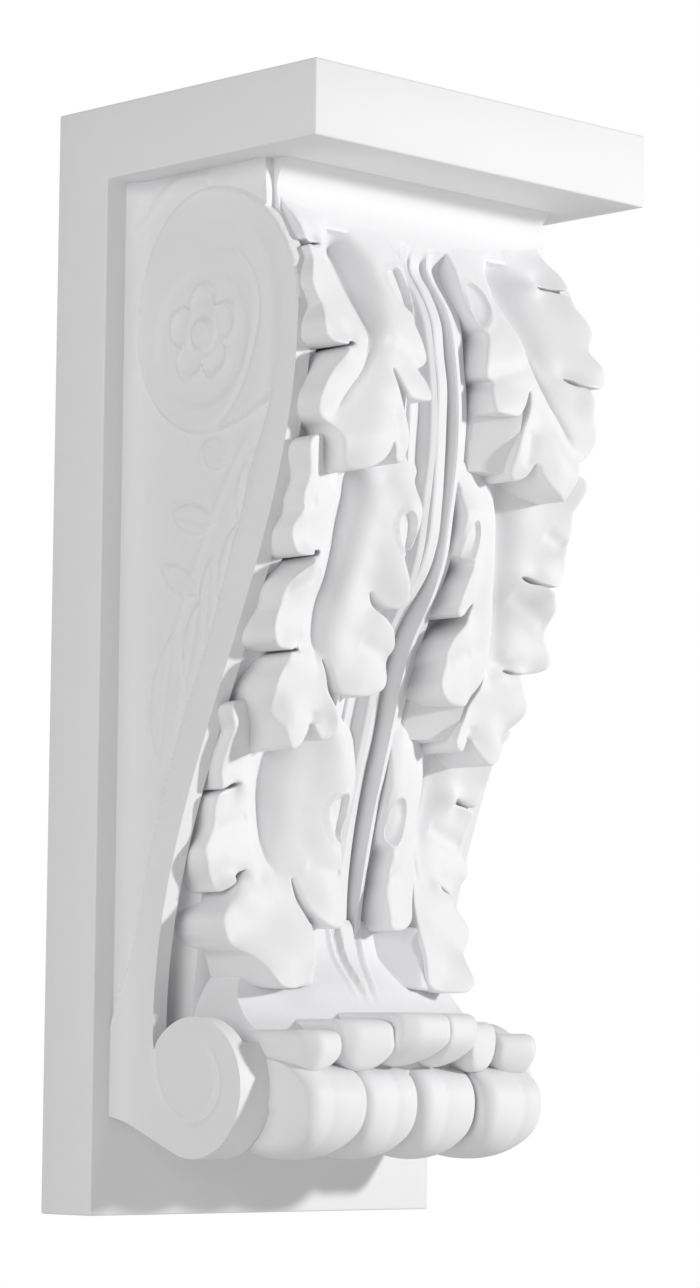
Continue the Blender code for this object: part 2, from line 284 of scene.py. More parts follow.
def prism(name, outline, half_width):
    """A slab across the bracket, of this (forward, height) outline."""
    outline = np.array(outline, float)
    count = len(outline)
    near = placed(np.full(count, -half_width), outline[:, 0], outline[:, 1])
    far = placed(np.full(count, half_width), outline[:, 0], outline[:, 1])
    ring = [(k, (k + 1) % count, count + (k + 1) % count, count + k) for k in range(count)]
    caps = [tuple(range(count)), tuple(range(2 * count - 1, count - 1, -1))]
    return solid_from(name, np.r_[near, far], ring + caps)


# ---------------------------------------------------------------- the scroll's long curves


S_LOW_HEIGHT, S_LOW_FORWARD = 50.0, 34.5
S_HIGH_HEIGHT, S_HIGH_FORWARD = 238.0, 87.0
# The volutes' centres are (forward, height). The upper one's radii are to its front, top, back
# and bottom.
UPPER_EYE = (50.0, 238.0)
UPPER_RADII = (37.0, 36.0, 26.5, 30.0)
LOWER_EYE, LOWER_RADIUS = (50.2, 34.2), 18.6
FOOT_HEIGHT = 26.5
# How far the scroll runs on into the slab, and where that part ends in front of the upper centre.
TUCK, TUCK_FORWARD = 8, 22
# What is cut away below the roll: how deep, and from how far under the lower centre.
ROLL_CUT, ROLL_CUT_TOP = 3.4, 4.6
THROAT_HEIGHT, THROAT_FORWARD, THROAT_FLARE = 272.0, 73.7, 4.0
LEAF_HALF_WIDTH = 50.9
PETALS_HALF_WIDTH = 44.2
# How deep the leaf's channel is cut, how far the scroll's two sides pass the middle, a place in
# front of the whole bracket, and how far forward the hidden backs of the carved pieces are.
CHANNEL_DEPTH, CHEEK_OVERLAP, BEYOND = 11.0, 2.0, 120.0
HIDDEN_BACK = 14.0
GROUND_ROWS, SCROLL_DETAIL, MOST_TRIANGLES = 330, 0.42, 196000
PETAL_AXIS, PETAL_TOP, PETAL_FOOT = (64.5, 31.0), 42.0, 15.5
PETAL_FULLNESS, PETAL_ENDS, TIP_FORWARD = 2.2, 0.985, 79
PETAL_STEP = 0.7
# At a lower petal's ends, how far the front falls back and the underside rises, each with the
# width that it happens over.
END_FALL, CUSP_RISE = (4.6, 4.2), (5.0, 11)
# Lower petals, half of the row: start and end across, the groove between the lobes, and the front.
LOWER_PETALS = ((0, 9.4, 22.2, 81.5), (21.8, 36.2, 45.0, 84.5))
# Upper petals, half of the row: start and end across, top and foot, where the keel is and how far
# forward, and how much the petal falls back from it for each step inwards and outwards.
UPPER_PETALS = (
    (-0.1, 14.8, 54.6, 40.6, 10.5, 90.0, -0.12, 0.8),
    (14.6, 30.0, 52.6, 39.2, 26.0, 82.3, -0.25, 0.9),
    (29.8, 44.8, 49.6, 38.4, 40.5, 84.0, 0.35, 1.2),
)


def s_forward(height):
    """The S edge: half a cosine wave between its two ends."""
    t = np.clip((height - S_LOW_HEIGHT) / (S_HIGH_HEIGHT - S_LOW_HEIGHT), 0, 1)
    middle = (S_LOW_FORWARD + S_HIGH_FORWARD) / 2
    swing = (S_HIGH_FORWARD - S_LOW_FORWARD) / 2
    return middle - swing * np.cos(np.pi * t)


def base_forward(height):
    """The surface that rises are counted from: the S, then the throat up to the slab."""
    height = np.asarray(height, float)
    up = (THROAT_HEIGHT - height) / (THROAT_HEIGHT - S_HIGH_HEIGHT)
    cove = THROAT_FORWARD + (S_HIGH_FORWARD - THROAT_FORWARD) * eased(up)
    flare = np.clip((height - THROAT_HEIGHT) / 7.6, 0, 1)
    return np.where(height > S_HIGH_HEIGHT, cove + THROAT_FLARE * flare**2, s_forward(height))


def arc(centre, radii, start, end, steps):
    """Points round an ellipse, from one angle to another in degrees."""
    (forward, height), (wide, tall) = centre, radii
    turns = np.radians(np.linspace(start, end, steps + 1))
    return [(forward + wide * math.cos(a), height + tall * math.sin(a)) for a in turns]


def s_meets_volute():
    """The height at which the S edge comes down onto the lower volute."""
    away = LOWER_EYE[0] - S_LOW_FORWARD
    return LOWER_EYE[1] + math.sqrt(LOWER_RADIUS**2 - away**2)


def scroll_outline(plate, underside):
    """The scroll from its foot on the plate, round both volutes, and up into the slab."""
    run, drop = LOWER_EYE[0] - plate, LOWER_EYE[1] - FOOT_HEIGHT
    lean = math.degrees(math.atan2(drop, run) + math.acos(LOWER_RADIUS / math.hypot(run, drop)))
    meet = math.degrees(
        math.atan2(s_meets_volute() - LOWER_EYE[1], S_LOW_FORWARD - LOWER_EYE[0])
    )
    radii = (LOWER_RADIUS, LOWER_RADIUS)
    heights = np.linspace(s_meets_volute(), S_HIGH_HEIGHT, 120)
    front, top = UPPER_RADII[:2]
    inner = underside + TUCK
    return (
        [(plate / 2, FOOT_HEIGHT), (plate, FOOT_HEIGHT)]
        + arc(LOWER_EYE, radii, lean - 180, meet, 60)[:-1]
        + [(float(s_forward(h)), float(h)) for h in heights]
        + arc(UPPER_EYE, (front, top), 0, 90, 40)[1:24]
        + [(UPPER_EYE[0] + TUCK_FORWARD, underside), (UPPER_EYE[0] + TUCK_FORWARD, inner)]
        + [(plate / 2, inner)]
    )


def leaf_channel(underside):
    """The room for the leaf between the two sides of the scroll."""
    heights = np.linspace(LOWER_EYE[1] + 12, underside + 12, 140)
    front = [(float(base_forward(h)) - CHANNEL_DEPTH, float(h)) for h in heights]
    outline = [(BEYOND, heights[0])] + front + [(BEYOND, heights[-1])]
    return prism("channel", outline, LEAF_HALF_WIDTH - 0.3)


def roll_hollow(plate):
    """What is cut away under the foot, between the discs, to show the petals' rounded ends."""
    radius, near = LOWER_RADIUS - ROLL_CUT, plate + 1
    outline = [(near, LOWER_EYE[1] - ROLL_CUT_TOP)]
    outline += arc(LOWER_EYE, (radius, radius), 205, 340, 30)
    return prism("under", outline + [(90, 24), (90, 4), (near, 4)], PETALS_HALF_WIDTH)


# ---------------------------------------------------------------- side carving


# How far forward the raised band starts at each height, below the upper volute.
BAND_BACK = through((
    (50, 20.0), (60, 22.0), (68, 24.5), (78, 27.0), (90, 30.0), (105, 34.5), (120, 39.5),
    (140, 48.0), (160, 56.5), (180, 63.5), (197, 68.5), (215, 76.0), (238, 79.5),
))
# The gouged lines on the side, and a raised one in the corner above, as (forward, height).
CHANNEL = (
    (62, 177), (68.5, 197), (73.5, 211), (76.5, 225), (76.8, 240), (74.5, 251), (69, 259.5),
    (60, 265), (49, 266.5),
)
SPIRAL = (
    (31, 216), (40, 209.8), (49, 208), (57, 210), (65, 219), (70, 231), (71.3, 241), (68, 250),
    (60.5, 256.5), (50, 258),
)
LOWER_SPIRAL = (
    (35, 47), (36, 38), (39, 31), (44, 27), (49.5, 25.5), (55, 27), (59, 31.5), (59.7, 37),
    (57, 43), (52, 46),
)
SPANDREL = ((52, 276.5), (44, 277.6), (37, 277), (31, 273.5), (26, 268.5), (22, 263.5))
ROSETTE_AT, ROSETTE_RING = (50.0, 234.5), 9.2
# Each husk leaf is its middle, forward and up, then its half length, half width and tilt in
# degrees. Their stem is (forward, height).
HUSKS = (
    (65.5, 190, 10, 3.4, -8), (54.5, 202, 6.5, 4.6, 62), (46, 185, 9.5, 4.4, 76),
    (60, 171, 13, 3.8, -14), (52.5, 163, 12, 4.0, -4), (41, 169, 9.5, 3.8, 62),
    (47, 152, 12, 4.4, -12), (36.5, 138, 18, 6.4, -8),
)
HUSK_STEM = ((67, 206), (58, 193), (52, 182), (44, 166), (37, 148), (31, 126))


def in_upper_volute(forward, height):
    """Signed distance-like value: positive inside the upper volute's outline."""
    front, top, back, bottom = UPPER_RADII
    across, up = forward - UPPER_EYE[0], height - UPPER_EYE[1]
    radius = np.hypot(
        across / np.where(across > 0, front, back), up / np.where(up > 0, top, bottom)
    )
    return (1 - radius) * 30


def stroke(path, places, width, step=1.5):
    """How strongly a gouge drawn along a path marks each place, from 0 to 1."""
    gap, along = distance_to(rounded(path, step, closed=False), places)
    ends = eased(along / 0.08) * eased((1 - along) / 0.12)
    return np.exp(-((gap / width) ** 2)) * ends


def leaflet(forward, height, husk):
    """A pointed husk leaf with a crease down its middle, from 0 at its edge to 1."""
    centre_forward, centre_height, length, width, tilt = husk
    turn = math.radians(tilt)
    ahead, up = forward - centre_forward, height - centre_height
    across = ahead * math.cos(turn) + up * math.sin(turn)
    along = up * math.cos(turn) - ahead * math.sin(turn)
    half = width * np.clip(1 - (np.abs(along) / length) ** 2.2, 0, 1)
    edge = np.clip((half - np.abs(across)) / 1.1, 0, 1)
    crease = 0.45 * np.exp(-((across / 0.7) ** 2))
    return eased(edge) * (1 - crease)


def rosette_rise(forward, height):
    """Five cupped petals round a boss, over the bottom of the volute's dish."""
    across, up = forward - ROSETTE_AT[0], height - ROSETTE_AT[1]
    radius, turn = np.hypot(across, up), np.arctan2(up, across)
    petal = np.abs(np.cos(2.5 * (turn - 0.3)))
    reach = 9.0 + 5.5 * petal**0.6
    body = eased((reach - radius) / 1.4)
    cup = 0.75 * hump(radius - ROSETTE_RING - 0.6, 4.6) * petal
    rim = 0.5 * hump(radius - reach + 1.5, 1.8)
    boss = 1.5 * eased((4.6 - radius) / 1.6) - 0.6 * hump(radius - 5.4, 1.3)
    return 0.75 * body - cup + rim + boss


def side_half_width(forward, height, sizes):
    """Half the scroll's width at each place on its side, with the low carving on it."""
    places = np.c_[forward.ravel(), height.ravel()]
    shape = forward.shape
    face, sink = sizes.half_width / MM, sizes.field_sink / MM
    volute = eased(in_upper_volute(forward, height) / 1.1 + 0.5)
    band = eased((forward - BAND_BACK(height)) / 1.1 + 0.5) * (height < 240)
    raised = np.maximum(volute, band)
    channel = stroke(CHANNEL, places, 2.6).reshape(shape)
    spiral = stroke(SPIRAL, places, 0.8).reshape(shape)
    inner = np.hypot(forward - 49.5, (height - 233.5) * 0.98)
    dish = eased((19.5 - inner) / 3.0)
    carved = face - sink * (1 - raised) - 0.75 * channel - 0.65 * spiral * volute - 0.7 * dish
    carved = carved + 0.9 * rosette_rise(forward, height) * dish
    husks = np.zeros(shape)
    for husk in HUSKS:
        husks = np.maximum(husks, leaflet(forward, height, husk))
    stem = stroke(HUSK_STEM, places, 1.1).reshape(shape)
    carved = carved + (0.85 * husks + 0.35 * stem * (1 - husks)) * (1 - raised)
    low = stroke(LOWER_SPIRAL, places, 1.0).reshape(shape)
    lip = stroke([(f * 0.94 + 2.6, h * 0.94 + 2.2) for f, h in LOWER_SPIRAL], places, 0.9)
    carved = carved - 0.9 * low + 0.35 * lip.reshape(shape)
    spandrel = stroke(SPANDREL, places, 1.5).reshape(shape)
    carved = carved + 0.9 * spandrel * (1 - volute)
    cove = np.clip((26.5 - forward) / 6.3, 0, 1)
    return carved + 3.2 * cove**2 * (1 - 0.8 * volute)


# ---------------------------------------------------------------- the ground of the leaf


# Rises at each height: the stem's middle rib, the ribs and the floor beside it, the ground that
# shows at the leaf's sides, and what lies under the leaf.
CENTRE_RIB = through((
    (262.5, 0), (259.5, -2.7), (257, -4.4), (250, -4.2), (240, -3.2), (232, -2.2), (223, -0.2),
    (215, 0.8), (202, 2.9), (192, 4.9), (180, 6.9), (174, 6.6), (168, 4.6), (162, 1.8),
    (150, 0.6), (140, 2.2), (130, 4.2), (120, 5.3), (110, 6.6), (100, 8.0), (90, 9.6), (78, 12),
))
SIDE_RIB = through((
    (262.5, 0), (258, -3.0), (245, -2.5), (230, 0), (220, 2), (205, 4.4), (190, 6.2), (175, 8.4),
    (165, 7.6), (155, 5.6), (145, 6.0), (135, 7.6), (125, 9), (110, 10.5), (95, 12), (78, 13.4),
))
SIDE_FLOOR = through((
    (262.5, 0), (258, -4.6), (245, -4.8), (230, -3.4), (220, -1.4), (205, 0.6), (190, 3.2),
    (175, 4.2), (160, 2.4), (145, 2.6), (130, 4.6), (115, 7), (100, 8), (85, 9.5), (78, 11),
))
PLINTH = through((
    (262.5, -1), (235, -2), (205, -2), (190, -1.5), (150, -2), (130, -3.5), (110, -4.5),
    (95, -4.5), (82, -4), (70, -5), (60, -8.5), (44, -10),
))
UNDER_LEAF = through((
    (262.5, -1), (258, -12), (240, -10), (215, -5), (200, -6), (175, -4), (150, 0), (120, -3),
    (95, 0), (70, 3),
))
# Places across the stem, between which the ground passes from one of these to the next.
RIB_STATIONS = (0, 1.7, 2.5, 3.0, 3.9, 5.7, 7.6, 10.8, 13.0)
# Each hollow under a pair of inner lobes: its top, its bottom, where its slope starts across at
# the bottom and ends at the leaf's edge, and the rise there.
HOLLOWS = ((219, 201.0, 12.5, 22.0, 9.0), (141, 129.5, 12.0, 24.0, 13.4))


def ground_rise(across, height):
    """Ribs and grooves of the middle stem, the hollows beside it, and what lies under the leaf."""
    u = np.abs(across)
    centre, side, floor = CENTRE_RIB(height), SIDE_RIB(height), SIDE_FLOOR(height)
    groove = np.minimum(centre, side) - 2.6 * eased((262 - height) / 8)
    under = UNDER_LEAF(height)
    values = (centre, centre, groove, groove, side, side - 0.4, floor, floor, under)
    rise = under.copy()
    for number in range(len(RIB_STATIONS) - 1):
        start, end = RIB_STATIONS[number : number + 2]
        t = eased((u - start) / (end - start))
        span = values[number] + (values[number + 1] - values[number]) * t
        rise = np.where((u >= start) & (u < end), span, rise)
    for top, bottom, start, end, lip in HOLLOWS:
        t = np.clip((u - start) / (end - start), 0, 1)
        slope = floor + (lip - floor) * t
        within = (height < top) & (height > bottom) & (u > start) & (u < end + 1)
        rise = np.where(within, slope, rise)
    plinth = eased((u - 43) / 3) * eased((254 - height) / 6)
    rise = rise + (PLINTH(height) - rise) * plinth
    bell = eased((height - 261.8) / 1.6)
    return rise * (1 - bell)


def ground_columns():
    """Across positions, close together over the ribs and wide where the leaf hides the ground."""
    middle = np.linspace(0, 13.5, 30)
    outer = np.linspace(13.5, LEAF_HALF_WIDTH, 26)[1:]
    half = np.r_[middle, outer]
    return np.r_[-half[:0:-1], half]


def ground(top, bottom):
    """The throat, the stem and the ground under the leaf, as one closed piece."""
    columns = ground_columns()

    def surface(s, t):
        across = columns[np.round(s * (len(columns) - 1)).astype(int)]
        height = bottom + (top - bottom) * t
        forward = base_forward(height) + ground_rise(across, height)
        return placed(across, forward, height)

    sheet = bent_grid("throat_and_stem", len(columns) - 1, GROUND_ROWS, surface)
    return walled(sheet, FORWARD, -HIDDEN_BACK)


# ---------------------------------------------------------------- the leaf's blades


def notch(mouth_below, mouth_above, apex, width):
    """Outline points of a drilled notch: narrow at its mouth and wider at its round inner end."""
    below, above, tip = (np.array(point, float) for point in (mouth_below, mouth_above, apex))
    mouth = (below + above) / 2
    run = tip - mouth
    side = np.array((run[1], -run[0])) / np.hypot(*run)
    if np.dot(above - below, side) < 0:
        side = -side
    made = [below]
    for along, half in ((0.4, 0.3), (0.68, 0.5 * width), (0.88, 0.42 * width)):
        made.append(mouth + run * along - side * half)
    made.append(tip)
    for along, half in ((0.88, 0.42 * width), (0.68, 0.5 * width), (0.4, 0.3)):
        made.append(mouth + run * along + side * half)
    made.append(above)
    return [tuple(point) for point in made]


# The strokes of each blade. An outline and an eye are (across, height). The others are (across,
# height, rise): the rim beside the stem, the lobe next to it, the wall down to the trough, and
# the edge with the tips of the fingers. Notches are the inner ends of the cuts between fingers,
# the fork parts the two lowest lobes, and the top meets the throat. A gouge is a path, its width
# and its depth.
UPPER_BLADE = {
    "outline": [
        (10.6, 268), (10.6, 261), (10.4, 254), (10.6, 246), (12.2, 241.4), (14.2, 238.6),
        (12.6, 233.5), (11.5, 229), (12.2, 226.6), (14.3, 225.4), (12.9, 222.6), (12.2, 219.4),
        (12.6, 217), (15, 216.5), (19, 216.3), (21.4, 216.8), (23.6, 219.6), (26.4, 223.9),
        (25.4, 219.4), (23.6, 215), (21.5, 209.5), (20.2, 204), (20.4, 200.6), (22.4, 199.2),
        (25.2, 200.4), (27.4, 204), (29.4, 201), (32.5, 198.2), (37, 196), (41.4, 195.4),
        (43.4, 197), (44.8, 200), (45.8, 203.6), (47.6, 206.4), (50.6, 208), (52.4, 210),
        (53.2, 213.6), (51.6, 218), *notch((48.2, 224.6), (51.0, 227.4), (40.4, 229.2), 1.2),
        (53.6, 228.9), (54.1, 231), (54.0, 233.5), (52.6, 236.6), (52.0, 238.4), (53, 240.8),
        (54.2, 244.0), (53.2, 247.5), (51.0, 251.4),
        *notch((50.7, 254.4), (50.9, 256.6), (42.2, 256.8), 0.6), (51.2, 258.4), (50.8, 261),
        (50, 264.2), (50, 267.3), (50, 270.4), (50, 275), (38, 276), (24, 275), (12, 274),
    ],
    "rim": [
        (11, 262.6, 0.1), (11.2, 259.6, 0.8), (11.4, 256.5, 0.9), (10.8, 251, 0),
        (10.8, 245.5, -0.6), (12.2, 241.6, 0), (14.2, 238.4, 2.2), (12.4, 232.6, 4),
        (12, 228, 4.9), (14.2, 225.6, 5), (12.8, 221, 7.1), (13.4, 217.4, 9),
    ],
    "lobe": [
        (18, 263.6, 0.3), (14, 263.2, 0.2), (23.4, 263, 0.3), (22, 259.6, 0.7), (16, 259.6, 0.9),
        (18.4, 253.5, 0.5), (19.4, 248.7, 0.4), (18.8, 244.1, 0.9), (16.4, 240.6, 1.8),
        (22.5, 254, 0.5), (23, 247, 0.9), (22.5, 240, 3), (20, 234, 5), (18, 227.5, 5.8),
        (23, 232, 6), (18.5, 220, 8.8), (23, 226, 6.8),
    ],
    "wall": [
        (26, 262, -0.2), (25, 258, -1.2), (24.6, 252.5, -1.8), (25.6, 246.5, -1.2),
        (27.2, 240.5, 1.2), (27.4, 235.8, 3.6), (27.6, 231.2, 5.2), (29.4, 226.4, 6.2),
    ],
    "trough": [
        (29, 260.8, -4), (29, 258.4, -7), (29.3, 253.8, -7), (30, 248.6, -6.2),
        (30.6, 243.6, -4.4), (30.6, 239.4, -2), (30.4, 235.2, 0.8), (31.2, 231.2, 3.2),
        (34, 225.4, 4.9), (36.7, 221.3, 5.8), (38.8, 219.1, 6.1), (41.1, 216.5, 6.6),
        (43.9, 213, 7.1), (46.6, 209.2, 7.6),
    ],
    "edge": [
        (49.7, 267.3, 1), (49.6, 264.2, 3.2), (50.6, 260.2, 5.4), (51.2, 256.3, 5.8),
        (50.6, 252, 5.2), (53.2, 246.5, 5.6), (53.4, 242.8, 5), (52, 238.3, 5.4),
        (53.5, 233.5, 8.7), (53.7, 229.7, 9.5), (47.1, 225, 11.6), (50.2, 219.6, 9.5),
        (52.6, 213.9, 9), (52, 209.4, 8),
    ],
    "notches": [(41.8, 257.6, 2), (41.8, 256.4, 2), (40.4, 230.2, 5.2), (40.4, 228.6, 7)],
    "top": [
        (29, 264.6, 0), (35, 264.4, 0.3), (41, 264.2, 1.2), (45.6, 264.2, 2.2), (25, 267, -0.4),
        (33, 267.4, -0.3), (41, 267.4, 0), (46, 267.4, 0.6), (49.4, 270.6, -0.3),
        (14, 266.4, -0.5), (12, 272, -1.6), (25, 272, -1.4), (38, 272, -1.2), (49, 274, -1.4),
    ],
    "fork": [(25.6, 219.5, 9), (24.8, 212, 10), (22.5, 205, 11.2), (22, 200.4, 10.4)],
    "end": [
        (28, 213, 10.2), (32.4, 218, 8.2), (32.9, 211.7, 12), (29, 208.6, 12.4),
        (34.6, 204.4, 15.4), (31.5, 203, 14.4), (35.5, 199, 15.2), (37, 197, 14.8),
        (40, 205, 13.6), (40.6, 200, 14), (45.4, 202.6, 12), (44.6, 200, 12.1), (42.6, 197, 11.8),
        (49.4, 208.4, 8),
    ],
    "eye": [
        (13, 253.6), (15.6, 254), (18.2, 252), (19, 248.6), (18.2, 245), (16.2, 242.2),
        (13.8, 240.8), (12.4, 243), (12, 248),
    ],
    "gouges": [
        ([(8, 224), (18, 228), (28, 232)], 2.2, 0.7),
        ([(24.6, 203), (25.4, 208), (26.6, 213)], 1.6, 0.7),
    ],
}
MIDDLE_BLADE = {
    "outline": [
        (9.0, 204), (8.6, 196), (8.3, 188), (8.2, 182), (8.8, 178.6), (11.4, 177.4),
        (13.2, 175.6), (11.2, 171), (9.8, 166), (10.1, 162.8), (13, 161.9), (16.4, 163.2),
        (19.6, 166), (17.9, 161.9), (14.4, 159), (11.6, 156.3), (10.2, 153.2), (10, 151.3),
        (11, 149), (10.7, 146.5), (10.3, 143.4), (11.6, 140.6), (15.2, 138.8), (20, 138.4),
        (24, 138.9), (26.2, 141.6), (28.6, 144.8), (30.9, 147.6), (29.6, 144.2), (27.6, 140.6),
        (25.6, 137.2), (23.4, 133), (22.7, 128.9), (24.6, 127.1), (27.5, 126.9), (30, 130.6),
        (31.8, 128.2), (34.3, 125.4), (37.4, 123.4), (39.6, 124.4), (41.4, 127.6), (42.8, 130.2),
        (44.2, 132), (46.4, 134.6), (48.0, 138), (47.5, 141.6), (45.6, 145),
        *notch((44.5, 147.6), (46.6, 149.2), (39.2, 149.7), 0.9), (51.6, 150.4), (53.0, 153),
        (52.2, 156.6), (50.8, 160.1), (51.2, 164.1), (50.2, 167.2),
        *notch((46.4, 171), (48.8, 173), (38.9, 175.2), 1.5), (51.2, 174.6), (52.6, 179.2),
        (51.6, 182.6), (51.0, 184.6), (51.6, 188.3), (50.9, 193), (50.4, 204),
    ],
    "rim": [
        (8.8, 202, 1), (8.6, 194, 5), (8.6, 188, 9), (8.4, 182, 8.9), (8.8, 177.4, 8.4),
        (12.9, 175.4, 11.6), (10.8, 170.4, 13.3), (9.9, 165.2, 14.2), (10.6, 162.8, 13.6),
        (14.4, 162.6, 11.6), (16.4, 159.8, 12.6), (13.8, 157.9, 13.7), (11.4, 154.8, 14.2),
        (10.4, 151.8, 14.5), (11, 148.4, 14.1), (10.7, 144, 15.6), (12.4, 140.9, 16.8),
        (15.4, 139.2, 16.6),
    ],
    "lobe": [
        (13, 198, 3), (12.4, 190, 8.2), (14.3, 187.5, 7.8), (15.9, 184.6, 7.9),
        (15.6, 181.2, 8.9), (14.3, 177.6, 10.4), (19, 196, 2.4), (20, 190, 5.6), (21, 183, 6.6),
        (21, 176, 7.6), (22, 169, 8.2), (16, 170, 11.2), (23.5, 161, 9.8), (24, 154, 11.2),
        (17, 154, 13.4), (17, 147, 14.8), (23, 148, 13.2), (19, 142, 15.8), (18.4, 163.6, 9.4),
    ],
    "wall": [
        (24.8, 199, -1.4), (25.2, 193, 1.2), (26.6, 186, 2.4), (27.4, 179, 4), (28.5, 171.5, 5.4),
        (30.2, 164, 6.6), (31, 157, 8.2), (30.4, 150.5, 10.6), (27.6, 146, 12.8),
    ],
    "trough": [
        (27, 200, -4.4), (27.4, 195, -3.2), (27.8, 190.4, -1.9), (29, 183.3, -0.5),
        (29.7, 177.1, 1.1), (31, 169.3, 2.6), (32.8, 161.4, 4), (33.3, 153.8, 6.6),
        (32.2, 147.6, 9.4),
    ],
    "edge": [
        (50.5, 200, 7.4), (50.5, 192.3, 7.5), (51.2, 188.3, 7.7), (50.8, 184.2, 8.2),
        (51.8, 181.5, 7.5), (52.1, 179, 7.5), (50.7, 175.3, 8.7), (49.1, 173.8, 9.6),
        (46.2, 171.2, 13), (47.3, 169.1, 12.1), (50.2, 166.5, 11), (50.7, 164.1, 9.4),
        (50.6, 160.1, 9.2), (52.2, 155.6, 11.1), (52, 151.9, 12.8), (46.8, 149.9, 10.5),
        (44.3, 147, 12.4), (45.2, 144.1, 12.8), (47.1, 141.4, 13.7), (47.5, 138, 14.2),
        (46.1, 135.1, 12.6), (43.8, 132.2, 11.6),
    ],
    "notches": [(38.6, 176, 5), (38.6, 174.2, 6), (38.8, 150.6, 7.4), (38.8, 149, 9.8)],
    "end": [
        (33, 143.4, 11.4), (37.6, 144.6, 11.8), (30, 141, 11.8), (34, 137, 12.6), (39, 138, 13),
        (43, 137, 13.6), (39, 131, 15.6), (41.6, 128.6, 15.6), (38, 124.6, 17.2),
        (34.4, 131, 14.4), (35, 127, 15.8), (32.2, 130.4, 13.4),
    ],
    "fork": [
        (26.2, 139.6, 12.6), (24.6, 136, 14.6), (23.2, 132, 15.8), (23.6, 128.8, 15.8),
        (27.6, 129.6, 14), (28, 136, 12.8), (25.6, 131.6, 14),
    ],
    "eye": [
        (12.4, 187.8), (14.4, 187.2), (15.4, 184.6), (14.9, 181.2), (13.6, 178), (12, 175.6),
        (10.4, 176.6), (9.8, 179.4), (9.9, 183), (10.8, 186),
    ],
    "gouges": [
        ([(36, 170), (42, 167), (50, 163)], 1.8, 0.8), ([(29.8, 130), (30.4, 134)], 1.4, 0.8),
        ([(44, 188), (50, 184.5)], 1.5, 0.7), ([(12, 149), (16, 151), (21, 153)], 2.0, 0.6),
    ],
}
